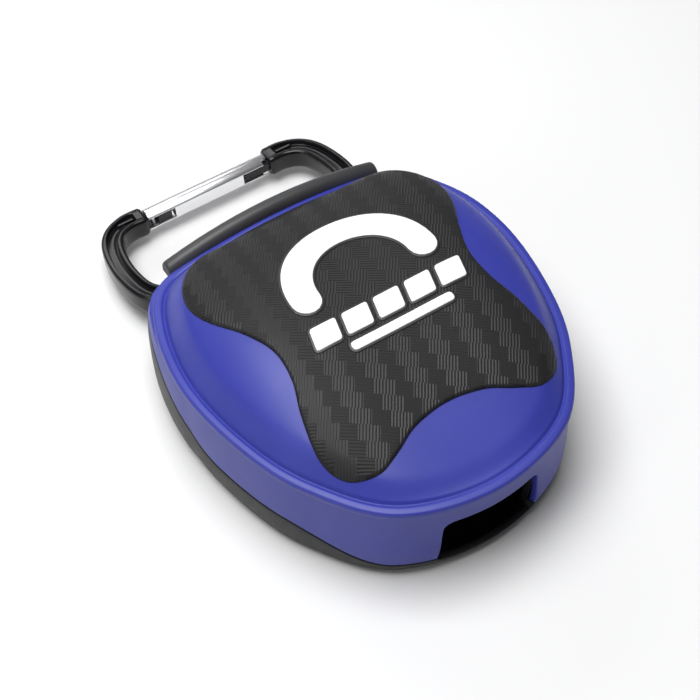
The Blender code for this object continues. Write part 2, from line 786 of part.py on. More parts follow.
def swept(path, section):
    """A section carried along a flat path, square to it."""
    ends = [path[0] * 2 - path[1]] + path + [path[-1] * 2 - path[-2]]
    rings = []
    for index in range(1, len(ends) - 1):
        along = (ends[index + 1] - ends[index - 1]).normalized()
        side = Vector((along.y, -along.x))
        rings.append([(ends[index] + side * a).to_3d() + Vector((0, 0, b)) for a, b in section])
    return rings


def flat_ended(name, rings):
    """A closed body through rings whose first and last rings are filled as flat ends."""
    shape = bmesh.new()
    loops = [[shape.verts.new(point) for point in line] for line in rings]
    for lower, upper in zip(loops, loops[1:]):
        for index in range(len(lower)):
            after = (index + 1) % len(lower)
            shape.faces.new((lower[index], lower[after], upper[after], upper[index]))
    shape.faces.new(loops[0][::-1])
    shape.faces.new(loops[-1])
    return mesh_object(name, shape)


def empty(name, location, parent=None):
    """An empty that marks a joint's axis, placed in millimetres."""
    marker = bpy.data.objects.new(name, None)
    PARTS.objects.link(marker)
    marker.parent = parent
    marker.location = Vector(location) * MM
    return marker


def build_carabiner():
    """The carabiner: its body on the spine's axis, and its gate on the gate's axis."""
    pivot = empty("carabiner_pivot", (LOOP_SLIDE, SPINE_Y, SPINE_Z))
    pivot.rotation_euler = (LOOP_TILT, 0, 0)
    hinge = empty("gate_pivot", (GATE_PIN_U, LOOP_V, 0), pivot)
    left = [(-x, y) for x, y in reversed(LOOP_HALF[1:])]
    path = even_points(spline_through(left + LOOP_HALF, False), 38, False)
    body = flat_ended("carabiner_body", swept(path, channel_section()))
    as_part(body, material("carabiner_black", (0.012, 0.012, 0.013), 0.22))
    body.parent = pivot
    add_tongues(body, pivot)
    build_gate(hinge)
    build_gate_hardware(hinge)


def build_gate(hinge):
    """The gate: a rod with a flat on its inner side and a slot at each end."""
    span = 2 * GATE_PIN_U
    start, end = -GATE_HALF - GATE_PIN_U, GATE_HALF - GATE_PIN_U
    gate = rod("carabiner_gate", GATE_R, (start, 0, 0), (end, 0, 0), 28)
    as_part(gate, material("gate_aluminium", (0.72, 0.72, 0.74), 0.32, 1.0))
    gate.parent = hinge
    fork_depth = GATE_PIN_U - FORK_END_U
    tools = [box("pivot_fork", (-fork_depth, -5, -FORK), (5, 5, FORK)),
             box("catch_fork", (-span - 5, -5, -FORK), (-span + fork_depth, 5, FORK)),
             rod("pivot_hole", GATE_PIN_R + GAP, (0, 0, -5), (0, 0, 5), 14),
             rod("catch_hole", GATE_PIN_R + GAP, (-span, 0, -5), (-span, 0, 5), 14),
             rod("spring_bore", SPRING_R + SPRING_WIRE + GAP, (SPRING_BORE_U, 0, 0), (0, 0, 0), 14),
             box("gate_flat", (-span - 5, -5, -5), (5, GATE_FLAT_V, 5)),
             box("gate_heel", (GATE_HEEL_U, -5, -5), (5, GATE_HEEL_V, 5))]
    for tool in tools:
        tool.parent = hinge
        join_shape(gate, as_tool(tool), "DIFFERENCE")


def build_gate_hardware(hinge):
    """The gate's two pins, its spring and the plunger that the spring pushes."""
    steel = material("small_steel", (0.55, 0.55, 0.57), 0.3, 1.0)
    reach = GATE_R - GAP
    for name, u in (("gate_pivot_pin", 0.0), ("gate_catch_pin", -2 * GATE_PIN_U)):
        pin = rod(name, GATE_PIN_R, (u, 0, -reach), (u, 0, reach), 14)
        as_part(pin, steel).parent = hinge

    sides = 8
    turns = SPRING_TURNS * sides
    coil = bpy.data.curves.new("gate_spring", "CURVE")
    coil.dimensions = "3D"
    coil.bevel_depth = SPRING_WIRE * MM
    coil.bevel_resolution = 0
    coil.use_fill_caps = True
    points = []
    for step in range(turns + 1):
        angle = 2 * math.pi * step / sides
        along = SPRING_U[0] + (SPRING_U[1] - SPRING_U[0]) * step / turns
        points.append((along, SPRING_R * math.cos(angle), SPRING_R * math.sin(angle)))
    add_spline(coil, points, False)
    as_part(from_curve("gate_spring", coil), steel).parent = hinge
    plunger = rod("gate_plunger", SPRING_R, (PLUNGER_U[0], 0, 0), (PLUNGER_U[1], 0, 0), 14)
    as_part(plunger, steel).parent = hinge


def add_tongues(body, pivot):
    """The flat tongues that reach from the carabiner's two ends into the gate's slots."""
    root = LOOP_HALF[-1][0] + 2.5
    low, high = LOOP_V - TONGUE_HALF_V, LOOP_V + TONGUE_HALF_V
    for side in (1, -1):
        ends = sorted((side * TONGUE_TIP_U, side * root))
        plate = as_tool(box("tongue_%d" % side, (ends[0], low, -TONGUE), (ends[1], high, TONGUE)))
        plate.parent = pivot
        join_shape(body, plate, "UNION")
    radius = GATE_PIN_R + GAP
    half = radius - 0.1
    eye = rod("pivot_eye", radius, (GATE_PIN_U, LOOP_V, -3), (GATE_PIN_U, LOOP_V, 3), 14)
    notch = box("catch_notch", (-GATE_PIN_U - half, low - 2.5, -3), (-GATE_PIN_U + half, LOOP_V, 3))
    seat = rod("catch_seat", radius, (-GATE_PIN_U, LOOP_V, -3.5), (-GATE_PIN_U, LOOP_V, 3.5), 14)
    for tool in (eye, notch, seat):
        tool.parent = pivot
        join_shape(body, as_tool(tool), "DIFFERENCE")


def guard_path():
    """Centre line of the mouthguard: two straight legs joined by a half ellipse at the front."""
    depth = GUARD_ARC_Y - GUARD_FRONT_Y
    arc = []
    for step in range(17):
        angle = math.pi * step / 16
        arc.append(Vector((-GUARD_LEG_X * math.cos(angle), GUARD_ARC_Y - depth * math.sin(angle))))
    ends = [Vector((-GUARD_LEG_X, GUARD_REAR_Y)), Vector((GUARD_LEG_X, GUARD_REAR_Y))]
    return [ends[0], ends[0].lerp(arc[0], 0.5)] + arc + [arc[-1].lerp(ends[1], 0.5), ends[1]]


def trough(half, wall, foot, top, floor):
    """Section of a trough that is open upwards, with bevelled edges."""
    edge = 0.6
    right = [(half - edge, foot), (half, foot + edge), (half, top - edge), (half - wall / 2, top),
             (half - wall, top - edge), (half - wall, foot + floor + edge),
             (half - wall - edge, foot + floor)]
    return right + [(-x, z) for x, z in reversed(right)]


def build_mouthguard():
    """The mouthguard that the case holds: a firm frame with a soft liner in its trough."""
    foot = GUARD_FLOOR_Z
    section = trough(FRAME_HALF, FRAME_WALL, foot, foot + FRAME_TOP, FRAME_FLOOR)
    frame = flat_ended("mouthguard_frame", swept(guard_path(), section))
    as_part(frame, material("guard_black", (0.02, 0.02, 0.024), 0.5))
    half = FRAME_HALF - FRAME_WALL - GAP
    section = trough(half, LINER_WALL, foot + FRAME_FLOOR + GAP, foot + LINER_TOP, LINER_FLOOR)
    liner = flat_ended("mouthguard_liner", swept(guard_path(), section))
    as_part(liner, material("guard_gel", (0.02, 0.03, 0.16), 0.35))


build_base()
build_lid()
build_pad_and_emblem()
build_hinge_pin()
build_carabiner()
build_mouthguard()
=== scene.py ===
"""The looks of the mouthguard case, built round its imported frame.

Frame: metres, origin on the flat underside, -Y to the front window, +Y to the hinge and the
carabiner, +Z up. Sizes are written in millimetres and multiplied by MM.
"""

import bisect
import math

import bmesh
import bpy
from mathutils import Matrix, Vector


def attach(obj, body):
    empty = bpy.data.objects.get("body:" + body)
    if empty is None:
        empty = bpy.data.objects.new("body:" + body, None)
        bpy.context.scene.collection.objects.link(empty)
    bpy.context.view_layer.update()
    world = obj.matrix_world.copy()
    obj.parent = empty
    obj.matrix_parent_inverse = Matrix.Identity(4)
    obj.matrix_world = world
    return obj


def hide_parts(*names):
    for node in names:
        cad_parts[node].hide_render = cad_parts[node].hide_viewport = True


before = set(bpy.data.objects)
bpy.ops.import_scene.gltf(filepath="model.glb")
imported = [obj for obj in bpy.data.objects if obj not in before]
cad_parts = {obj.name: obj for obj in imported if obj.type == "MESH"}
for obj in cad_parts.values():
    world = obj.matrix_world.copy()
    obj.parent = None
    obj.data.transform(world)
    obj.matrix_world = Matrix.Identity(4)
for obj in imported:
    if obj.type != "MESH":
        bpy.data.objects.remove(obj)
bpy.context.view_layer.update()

MM = 0.001
UP = Vector((0, 0, 1))

# The case in plan: half of the rim, from the front centre to the back centre.
RIM_HALF = [(0, -37.2), (19.7, -31.9), (31.4, -17.4), (37.1, -1.9), (39.3, 16.8), (35.8, 33.6),
            (28.4, 44.2), (13.0, 45.23), (0, 45.43)]
CENTRE = Vector((0.0, 5.0))  # the middle of the dome
RIM_COUNT = 2400  # points on the rim; a piece uses some of them
RIM_REACH = 20  # how far apart, in rim points, the rim's direction is measured
COARSE = 8  # rim points between a piece's ordinary columns
WINDOW_ZONE = (84, 136)  # rim points near the window's sides, where every point has a column

# The case in height.
RIM_Z = 25.4
REAR_RIM_Z = 23.6
REAR_RISE = 3.0  # how much higher the rim is in the middle of the rear edge
REAR_RIM_SPAN = (24, 19)  # in Y: where the rim starts to fall to the rear, and over what length
CROWN_RISE = 11.0  # the dome's middle above the rim
CROWN_HALF_X = 38
CROWN_HALF_Y = 41
BULGE_Z = 11.4  # height where the wall stands out furthest
FRONT_LEAN = -0.7  # how the wall stands out from the rim: see side_offset
SIDE_FLARE = 0.3
CORNER_FLARE = 2.2
FOOT_TAPER = 2.7
SIDE_TAPER = 1.0
WALL_CURVE = 2.6  # power of the wall's curve above and below the bulge
PART_FRONT_Z = 4.6  # the parting line's three levels
PART_SIDE_Z = 10.4
PART_REAR_Z = 19.4
PART_SIDE_SPAN = (22, 24)  # along the rim from the front: start and length of each rise
PART_REAR_SPAN = (64, 28)
FLOOR_Z = 2.0
GAP = 0.3
LID_WALL = 1.6
REAR_WALL = 4.2
REAR_WALL_SPAN = (30, 13)  # in Y: where the skirt starts to grow thicker, and over what length
SHELL = 2.2  # thickness of the dome
EDGE_R = 0.35  # rounding of the skirt's lower edge

# The dome's edge, in shares of the way from its middle to the rim, then its bead.
BEND_START = 0.84
BEND_LENGTH = 0.115
GROOVE_START = 0.94
GROOVE_END = 0.972
GROOVE_IN = 0.014
GROOVE_OUT = 0.016
GROOVE_DEPTH = 0.35
BEAD = [(0.12, 0.1), (0.23, 0.24), (0.31, 0.42), (0.36, 0.63), (0.385, 0.86), (0.385, 1.1), (0.37, 1.35)]
BEAD_SOFT = 0.2  # how far the bead has fallen at the rim
BEAD_SOFT_LENGTH = 0.04
BEAD_FOOT = 1.7  # where the skirt starts, below the bead's fallen edge
INNER_DROP = 3.2  # the skirt's inner face ends this far below the rim
INNER_LEAST = 0.1  # and is at least this tall
INNER_RIM = 0.8  # the dome's inside starts this far in from the skirt's inner face

# The base's own edge, lip and floor.
BASE_EDGE = [(0.04, 0.14), (0.14, 0.04), (0.3, 0.0)]
BASE_EDGE_DROP = 0.3  # where the edge's rounding starts, below the edge
BASE_STEPS = 12
BASE_INNER_STEPS = 5
LIP_WALL = 1.5
LIP_RISE = 2.3
LIP_REAR_RISE = 0.4
LIP_REAR_SPAN = (16, 13)  # in Y: where the lip starts to get lower, and over what length
LIP_FRONT_Z = 12.4  # the lip's height beside the window
LIP_ROUND = 0.3
LIP_LEAST = 0.02  # the lip's height over the base's edge in the notch
FOOT_ROUND = [(1.7, 0.0), (1.25, 0.06), (0.85, 0.2), (0.5, 0.42), (0.25, 0.72), (0.08, 1.1), (0.0, 1.6)]
FLOOR_FILLET = [(0.05, 4.0), (0.2, 3.4), (0.5, 2.8), (0.9, 2.4), (1.5, 2.1), (2.2, FLOOR_Z)]
SLOTS = 5
SLOT_Y = 15.0
SLOT_R = 1.1
SLOT_PITCH = 7.0
SLOT_HALF = 9.0
SLOT_STEP = 1.4  # how much shorter each slot is than the one nearer the middle
SLOT_ROUND = [(0.3, 0.0), (0.09, 0.09), (0.0, 0.3), (0.0, 1.7), (0.09, 1.91), (0.3, FLOOR_Z)]

# Window in the front of the skirt.
WINDOW_TOP_Z = 17.9
WINDOW_TOP_HALF = 11.2
WINDOW_LEAN = 0.059  # how much wider it is for each mm down
WINDOW_CORNER = 2.6
WINDOW_BLEND = 1.6  # rounding between the window's side and the parting line
WINDOW_REACH = 20  # beyond this distance along the rim there is no window
NOTCH_HALF = 10.9  # the base's own notch behind the window
NOTCH_SIDE = 1.0  # width of the notch's sloping side
NOTCH_LEDGE = 0.6  # the base's edge and its wall behind it in the notch
NOTCH_WALL = 0.7
NOTCH_DROP = 0.9  # how much lower the base's edge is in the notch

# Grip pad: half outline, front centre to back centre.
PAD_HALF = [(0, -18.8), (8, -20.0), (14, -22.7), (19.5, -24.3), (24.8, -21.6), (27.3, -15.4),
            (25.9, -7), (23.6, 0), (23.2, 7), (25.6, 14), (29.2, 21.5), (30.5, 28), (28.8, 34.3),
            (24.6, 38.8), (17, 42.0), (8, 43.4), (0, 43.7)]
PAD_CENTRE = Vector((0.0, 8.0))
PAD_POINTS = 360
PAD_RINGS = 30
PAD_TOP = 0.8  # height over the lid
PAD_ROUND = 0.55
PAD_ROUND_STEPS = 6
PAD_EDGE_SINK = 0.5  # how far the pad's underside lies in the lid, at its edge and within
PAD_SINK = 0.6

# The pad's weave: rows of ribbed blocks, each row a step further along.
WEAVE_TURN = math.radians(-34)
WEAVE_ROW = 3.15
WEAVE_PERIOD = 7.9
WEAVE_SHARE = 0.44  # the part of each period whose ribs run along the row
WEAVE_SHIFT = 1.7
WEAVE_RIB = 0.63

# Emblem on the pad: a plain horseshoe, a row of slanted blocks and a stripe.
EMBLEM_X = 1.8
EMBLEM_FOOT = 0.2  # foot, top and edge rounding of the white pieces, over the lid
EMBLEM_TOP = 1.2
EMBLEM_EDGE = 0.16
EMBLEM_BORDER = 0.55  # width of the border round each white piece
BORDER_FOOT = -0.2
BORDER_TOP = 1.02
BORDER_EDGE = 0.18
OUTLINE_STEP = 0.45  # distance between the points of an emblem outline
ARCH_Y = 13.0
ARCH_OUTER = (17.0, 16.6)
ARCH_INNER = (10.6, 10.0)
BLOCKS = 5
BLOCK_PITCH = 7.4
BLOCK_SIZE = (6.0, 5.0)
BLOCK_Y = 4.2
BLOCK_SLANT = 1.2
BLOCK_CORNER = 0.6
STRIPE_SIZE = (24.0, 2.0)
STRIPE_Y = -0.9
STRIPE_CORNER = 0.9

# Rear grip bar.
BAR_HALF = 26.2
BAR_FRONT_Y = 44.9
BAR_REAR_Y = 48.9
BAR_FOOT_Z = 21.0
BAR_TOP_Z = 24.6
BAR_ARCH = 4.0  # how much higher the bar is in its middle
BAR_SHOULDER = 1.3  # height of the bar's straight sides
BAR_EDGE = 0.35
BAR_ENDS = [(0.0, 0.5), (0.06, 0.3), (0.18, 0.14), (0.35, 0.04), (0.6, 0.0)]

# Case hinge.
HINGE_Y = 49.3
HINGE_Z = 18.9
KNUCKLE_R = 2.6
PIN_R = 1.0
KNUCKLE_EDGES = (8.0, 14.2, 19.0)
KNUCKLE_STEPS = 30
KNUCKLE_BEVEL = 0.25
BASE_WEB_Y = 43.4  # the base's knuckles start here, in its wall
BASE_WEB = (-2.3, -0.1)  # lower and upper face of their web, from the hinge's axis
LID_KNUCKLE_TURN = 128  # degrees of barrel above and below the rear of the lid's knuckles
LID_KNUCKLE_WEB = [(46.9, 0.8), (44.4, 0.8), (44.4, 3.9), (47.5, 3.9)]  # Y, height from the axis
LID_WEB_HALF = 20
LID_WEB_Y = (43.8, 47.6)
LID_WEB_FOOT = 2.2  # from the hinge's axis
LID_WEB_EDGE = 0.4

# Lug for the carabiner.
SPINE_Y = 48.9
SPINE_Z = 8.3
LUG_HALF = 6.0
LUG_R = 5.1
LUG_BORE_R = 3.4
LUG_FRONT = 6.4  # reach of the lug's square front, towards the case and down
LUG_FOOT = 4.4
LUG_STEPS = 72

# Carabiner, in its own plane: u across, v from the spine to the gate, w up.
LOOP_HALF = [(0, 0), (15.5, 0), (22.4, 1.1), (27.0, 5.2), (28.2, 13.0), (27.1, 20.8), (24.7, 25.2),
             (20.6, 27.2), (16.1, 27.2)]
LOOP_V = 27.2
LOOP_SLIDE = -1.0  # the loop lies a little to the left in its lug
LOOP_TILT = math.radians(-6.3)
ROD = 2.5
FLANGE = 1.3
CHANNEL_DEPTH = 1.1
COLLAR_RAMP = (2.2, 0.5)  # solid length at each end of the loop, then the channel's start
TIP_LENGTH = 0.6  # the loop's ends taper over this length, by this share
TIP_TAPER = 0.12
LOOP_POINTS = 220
RIB_SPAN = (18.6, 23.4)  # from the middle, the thin rib in the pocket beside each end
RIB_HEIGHT = 0.75
GATE_R = 2.45
GATE_HALF = 15.8
GATE_FLAT_V = -1.9
GATE_PIN_U = 14.2
GATE_PIN_R = 0.7
TONGUE = 1.2  # half thickness
TONGUE_HALF = 1.5
TONGUE_TIP_U = 9.5
FORK = 1.4  # half width of the gate's slots
FORK_END_U = 9.0

# Mouthguard: a trough that follows a dental arch.
GUARD_LEG_X = 22.0
GUARD_FRONT_Y = -20.0
GUARD_REAR_Y = 22.0
GUARD_ARC_Y = 0.0
GUARD_FLOOR_Z = 4.4
GUARD_POINTS = 150
TOOTH_PITCH = 9.6  # points from one dip in the walls to the next
FRAME_HALF = 6.6
FRAME_TOP = 12.4
FRAME_WALL = 1.7
FRAME_FLOOR = 2.2
FRAME_DIP = 0.5
LINER_TOP = 11.4
LINER_WALL = 1.5
LINER_FLOOR = 1.6
LINER_DIP = 0.7

# Studio.
STAGE_REACH = 1500.0
STAGE_STEPS = 12
STAGE_Z = -0.02
CAMERA_BACK = (-0.3355, -0.5026, 0.7968)
CAMERA_RIGHT = (0.8317, -0.5553, 0.0)
CAMERA_ROLL = math.radians(0.13)
CAMERA_DISTANCE = 390.2


# ---- curves

def smooth_step(value):
    """0 below 0, 1 above 1, and an S-shaped ramp between."""
    value = min(1.0, max(0.0, value))
    return value * value * (3 - 2 * value)


def mix(a, b, share):
    """The value share of the way from a to b."""
    return a + (b - a) * share


def spline_through(points, closed, steps):
    """A Catmull-Rom curve through the points."""
    knots = [Vector(point) for point in points]
    count = len(knots)
    spans = count if closed else count - 1
    path = []
    for span in range(spans):
        if closed:
            a, b, c, d = (knots[(span + shift) % count] for shift in (-1, 0, 1, 2))
        else:
            b, c = knots[span], knots[span + 1]
            a = knots[span - 1] if span else b * 2 - c
            d = knots[span + 2] if span + 2 < count else c * 2 - b
        for step in range(steps):
            t = step / steps
            path.append(0.5 * (2 * b + (c - a) * t + (2 * a - 5 * b + 4 * c - d) * t ** 2
                               + (3 * b - a - 3 * c + d) * t ** 3))
    if not closed:
        path.append(knots[-1])
    return path


def even_points(path, count, closed):
    """Points at even distances along a path."""
    if closed:
        path = path + [path[0]]
    lengths = [0.0]
    for start, end in zip(path, path[1:]):
        lengths.append(lengths[-1] + (end - start).length)
    spans = count if closed else count - 1
    result = []
    place = 0
    for index in range(count):
        target = lengths[-1] * index / spans
        while place < len(path) - 2 and lengths[place + 1] < target:
            place += 1
        part = (target - lengths[place]) / (lengths[place + 1] - lengths[place])
        result.append(path[place].lerp(path[place + 1], part))
    return result


def mirrored(half):
    """A closed outline from its right half."""
    left = [(-x, y) for x, y in reversed(half[1:-1])]
    return list(half) + left


def normals_of(points, reach=1):
    """Outward normals of a closed outline that runs anticlockwise."""
    count = len(points)
    result = []
    for index in range(count):
        along = points[(index + reach) % count] - points[index - reach]
        result.append(Vector((along.y, -along.x)).normalized())
    return result


def inset(points, normals, distance):
    """The outline moved inwards."""
    return [point - normal * distance for point, normal in zip(points, normals)]


# ---- the case's surface

RIM = even_points(spline_through(mirrored(RIM_HALF), True, 120), RIM_COUNT, True)
RIM_OUT = normals_of(RIM, RIM_REACH)
RIM_STEP = sum((RIM[i] - RIM[i - 1]).length for i in range(RIM_COUNT)) / RIM_COUNT
RIM_ANGLES = [math.atan2(point.x - CENTRE.x, CENTRE.y - point.y) % math.tau for point in RIM]


def columns():
    """The rim points that have a column: one in COARSE, and all of them at the window's sides."""
    low, high = WINDOW_ZONE
    fine = set(range(low, high)) | set(range(RIM_COUNT - high + 1, RIM_COUNT - low + 1))
    return sorted(set(range(0, RIM_COUNT, COARSE)) | fine)


def ramp(value, span):
    """0 before the span's start, 1 after its length, and an S-shaped ramp between."""
    start, length = span
    return smooth_step((value - start) / length)


def arch(x):
    """An arch over the rear edge: 1 in the middle and 0 at the bar's ends and beyond."""
    return max(0.0, 1 - (x / BAR_HALF) ** 2)


def rim_height(point):
    """Height of the bead's crest."""
    rear = ramp(point.y, REAR_RIM_SPAN)
    return RIM_Z * (1 - rear) + (REAR_RIM_Z + REAR_RISE * arch(point.x)) * rear


def crown(point):
    """Height of the dome's surface before it bends to the rim: flatter in the middle than at its edges."""
    u = point.x / CROWN_HALF_X
    v = (point.y - CENTRE.y) / CROWN_HALF_Y
    across = 2.4 * u ** 2 - 12.2 * u ** 4 + 2.2 * u ** 2 * v
    along = 3.8 * v - 10.6 * v ** 2 - 3.1 * v ** 3
    return RIM_Z + CROWN_RISE + across + along


def dome_height(plan, edge, share):
    """Height of the lid's upper surface, share of the way from the dome's middle to the rim."""
    hold = 1 - min(1.0, max(0.0, share - BEND_START) / BEND_LENGTH) ** 2
    into = smooth_step((share - GROOVE_START) / GROOVE_IN)
    out_of = smooth_step((GROOVE_END - share) / GROOVE_OUT)
    crest = rim_height(edge)
    return crest + (crown(plan) - crest) * hold - GROOVE_DEPTH * into * out_of


def rim_towards(point):
    """The rim point that lies in the same direction from the dome's middle."""
    angle = math.atan2(point.x - CENTRE.x, CENTRE.y - point.y) % math.tau
    low = bisect.bisect_right(RIM_ANGLES, angle) - 1
    start, end = RIM[low], RIM[(low + 1) % RIM_COUNT]
    first = RIM_ANGLES[low]
    last = RIM_ANGLES[low + 1] if low + 1 < RIM_COUNT else math.tau
    return start.lerp(end, (angle - first) / (last - first))


def on_lid(point, lift):
    """The point of the lid's upper surface over a plan point, lifted."""
    point = Vector((point[0], point[1]))
    offset = point - CENTRE
    if offset.length < 0.01:
        return Vector((point.x, point.y, crown(point) + lift))
    edge = rim_towards(point)
    share = offset.length / (edge - CENTRE).length
    return Vector((point.x, point.y, dome_height(point, edge, share) + lift))


def side_offset(index, height):
    """Distance of the outer wall from the rim, in plan, at a height."""
    out = RIM_OUT[index]
    front = FRONT_LEAN * max(0.0, -out.y) ** 1.5
    side = SIDE_FLARE * abs(out.x) ** 1.5
    corner = CORNER_FLARE * 2 * abs(out.x) * max(0.0, out.y)
    bulge = front + side + corner
    if height > BULGE_Z:
        return bulge * (1 - ((height - BULGE_Z) / (RIM_Z - BULGE_Z)) ** WALL_CURVE)
    taper = FOOT_TAPER - SIDE_TAPER * abs(out.x)
    return bulge - taper * ((BULGE_Z - height) / BULGE_Z) ** WALL_CURVE


def side_point(index, height, depth=0.0):
    """A point on the case's side wall, moved inwards by the depth."""
    plan = RIM[index] + RIM_OUT[index] * (side_offset(index, height) - depth)
    return Vector((plan.x, plan.y, height))


def lid_wall(index):
    """Thickness of the lid's skirt, which grows towards the hinge."""
    return mix(LID_WALL, REAR_WALL, ramp(RIM[index].y, REAR_WALL_SPAN))


def from_front(index):
    """Distance along the rim from the middle of its front."""
    return RIM_STEP * min(index, RIM_COUNT - index)


def parting(index):
    """Height of the parting line."""
    side = ramp(from_front(index), PART_SIDE_SPAN)
    rear = ramp(from_front(index), PART_REAR_SPAN)
    return PART_FRONT_Z + (PART_SIDE_Z - PART_FRONT_Z) * side + (PART_REAR_Z - PART_SIDE_Z) * rear


def window_height(x):
    """Height of the window's edge at a distance from its middle: flat top, round corner, side."""
    corner_start = WINDOW_TOP_HALF - WINDOW_CORNER
    if x <= corner_start:
        return WINDOW_TOP_Z
    bend = WINDOW_CORNER * (1 - WINDOW_LEAN)
    reach = 4 * WINDOW_CORNER ** 2 - 4 * bend * (x - corner_start)
    t = (2 * WINDOW_CORNER - math.sqrt(max(0.0, reach))) / (2 * bend)
    if reach > 0 and t < 1:
        return WINDOW_TOP_Z - WINDOW_CORNER * t * t
    return WINDOW_TOP_Z - (x - WINDOW_TOP_HALF) / WINDOW_LEAN


def lower_edge(index):
    """Height of the skirt's lower edge: the parting line, raised over the window."""
    line = parting(index)
    if from_front(index) > WINDOW_REACH:
        return line
    height = line
    for _ in range(12):
        window = window_height(abs(side_point(index, height).x))
        near = max(WINDOW_BLEND - abs(window - line), 0.0) / WINDOW_BLEND
        height = max(window, line) + near * near * WINDOW_BLEND / 4
    return height


# ---- mesh building

def piece(name, points, faces, finish, smooth=40):
    """A mesh object from points in millimetres, with its faces pointing out."""
    data = bpy.data.meshes.new(name)
    data.from_pydata([Vector(point) * MM for point in points], [], faces)
    shape = bmesh.new()
    shape.from_mesh(data)
    bmesh.ops.recalc_face_normals(shape, faces=shape.faces)
    shape.to_mesh(data)
    shape.free()
    thing = bpy.data.objects.new(name, data)
    bpy.context.scene.collection.objects.link(thing)
    data.materials.append(finish)
    data.shade_smooth()
    data.set_sharp_from_angle(angle=math.radians(smooth))
    return thing


def band(low, high, width):
    """Faces between two rings of the same width that start at the given points."""
    faces = []
    for index in range(width):
        after = (index + 1) % width
        faces.append((low + index, low + after, high + after, high + index))
    return faces


def loft(name, rings, finish, tips=None, closed=False, smooth=40):
    """A closed body through rings of points: ends closed by tips, by flat faces, or joined in a loop."""
    points = [point for ring in rings for point in ring]
    width = len(rings[0])
    count = len(rings)
    faces = []
    for row in range(count if closed else count - 1):
        faces += band(row * width, (row + 1) % count * width, width)
    last = (count - 1) * width
    if tips:
        points += tips
        for index in range(width):
            after = (index + 1) % width
            faces.append((after, index, count * width))
            faces.append((last + index, last + after, count * width + 1))
    elif not closed:
        faces.append(tuple(reversed(range(width))))
        faces.append(tuple(range(last, last + width)))
    return piece(name, points, faces, finish, smooth)


def rings_from(column_of, indices):
    """Rings of points from a function that gives the column at each rim point."""
    return [list(ring) for ring in zip(*(column_of(index) for index in indices))]


def belongs(thing, body, slot, *nodes):
    """The piece rides on a body and stands for CAD nodes, which it hides; the slot is not used."""
    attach(thing, body)
    if nodes:
        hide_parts(*nodes)
    return thing


def bevelled(thing, width, angle=30):
    """Round the sharp edges of a piece."""
    step = thing.modifiers.new("bevel", "BEVEL")
    step.width = width * MM
    step.segments = 2
    step.limit_method = "ANGLE"
    step.angle_limit = math.radians(angle)
    step.harden_normals = False
    return thing


# ---- materials

class Finish:
    """A material whose nodes are made by short calls."""

    def __init__(self, name, colour, roughness, metallic=0.0):
        self.material = bpy.data.materials.new(name)
        self.material.use_nodes = True
        self.tree = self.material.node_tree
        self.shader = self.tree.nodes["Principled BSDF"]
        self.shader.inputs["Base Color"].default_value = (*colour, 1.0)
        self.shader.inputs["Roughness"].default_value = roughness
        self.shader.inputs["Metallic"].default_value = metallic
        self.place = self.tree.nodes.new("ShaderNodeTexCoord").outputs["Object"]

    def node(self, kind, **inputs):
        """A node with its inputs linked or set."""
        made = self.tree.nodes.new(kind)
        for name, value in inputs.items():
            self.put(made.inputs[name.replace("_", " ")], value)
        return made

    def put(self, target, value):
        """Link a socket, or set a plain value."""
        if isinstance(value, bpy.types.NodeSocket):
            self.tree.links.new(value, target)
        else:
            target.default_value = value

    def math(self, operation, a, b=0.0):
        """One math node's result."""
        made = self.tree.nodes.new("ShaderNodeMath")
        made.operation = operation
        self.put(made.inputs[0], a)
        self.put(made.inputs[1], b)
        return made.outputs[0]

    def noise(self, scale, detail=2.0, stretch=(1, 1, 1)):
        """Noise of about the scale per metre, stretched along the axes."""
        mapped = self.node("ShaderNodeMapping", Vector=self.place, Scale=stretch)
        made = self.node("ShaderNodeTexNoise", Vector=mapped.outputs[0], Scale=scale, Detail=detail)
        return made.outputs["Fac"]

    def blend(self, factor, low, high):
        """A colour between two colours."""
        made = self.tree.nodes.new("ShaderNodeMix")
        made.data_type = "RGBA"
        self.put(made.inputs[0], factor)
        self.put(made.inputs[6], (*low, 1.0) if isinstance(low, tuple) else low)
        self.put(made.inputs[7], (*high, 1.0) if isinstance(high, tuple) else high)
        return made.outputs[2]

    def span(self, value, low, high):
        """A value from 0 to 1 carried to a range."""
        return self.math("ADD", self.math("MULTIPLY", value, high - low), low)

    def bump(self, height, depth, strength=1.0, before=None):
        """Surface relief, depth in millimetres."""
        made = self.node("ShaderNodeBump", Height=height, Distance=depth * MM, Strength=strength)
        if before is not None:
            self.put(made.inputs["Normal"], before)
        return made.outputs["Normal"]

    def set(self, **inputs):
        """Set or link the shader's own inputs."""
        for name, value in inputs.items():
            self.put(self.shader.inputs[name.replace("_", " ")], value)


def moulded(name, plain, low, high, clouds, rough, grain, depth, **more):
    """A finish with cloudy colour, uneven gloss and a fine grain; clouds are two noises, grain one."""
    look = Finish(name, *plain)
    cloud, gloss = (look.noise(*noise) for noise in clouds)
    look.set(Base_Color=look.blend(cloud, low, high), Roughness=look.span(gloss, *rough),
             Normal=look.bump(look.noise(*grain), depth), **more)
    return look.material


def rubber_finish(name, colour, roughness):
    """Smooth black rubber with a faint bloom."""
    pale = tuple(min(1.0, value * 1.5 + 0.004) for value in colour)
    return moulded(name, (colour, roughness), colour, pale, ((120, 4.0), (500, 2.0)),
                   (roughness - 0.05, roughness + 0.06), (5000, 3.0), 0.016)


def metal_finish(name, colour, roughness, stretch):
    """Brushed metal, its scratches stretched along one axis."""
    pale = tuple(min(1.0, value * 1.12) for value in colour)
    scratch = (2400, 3.0, stretch)
    return moulded(name, (colour, roughness, 1.0), colour, pale, (scratch, scratch),
                   (roughness - 0.07, roughness + 0.08), scratch, 0.004)


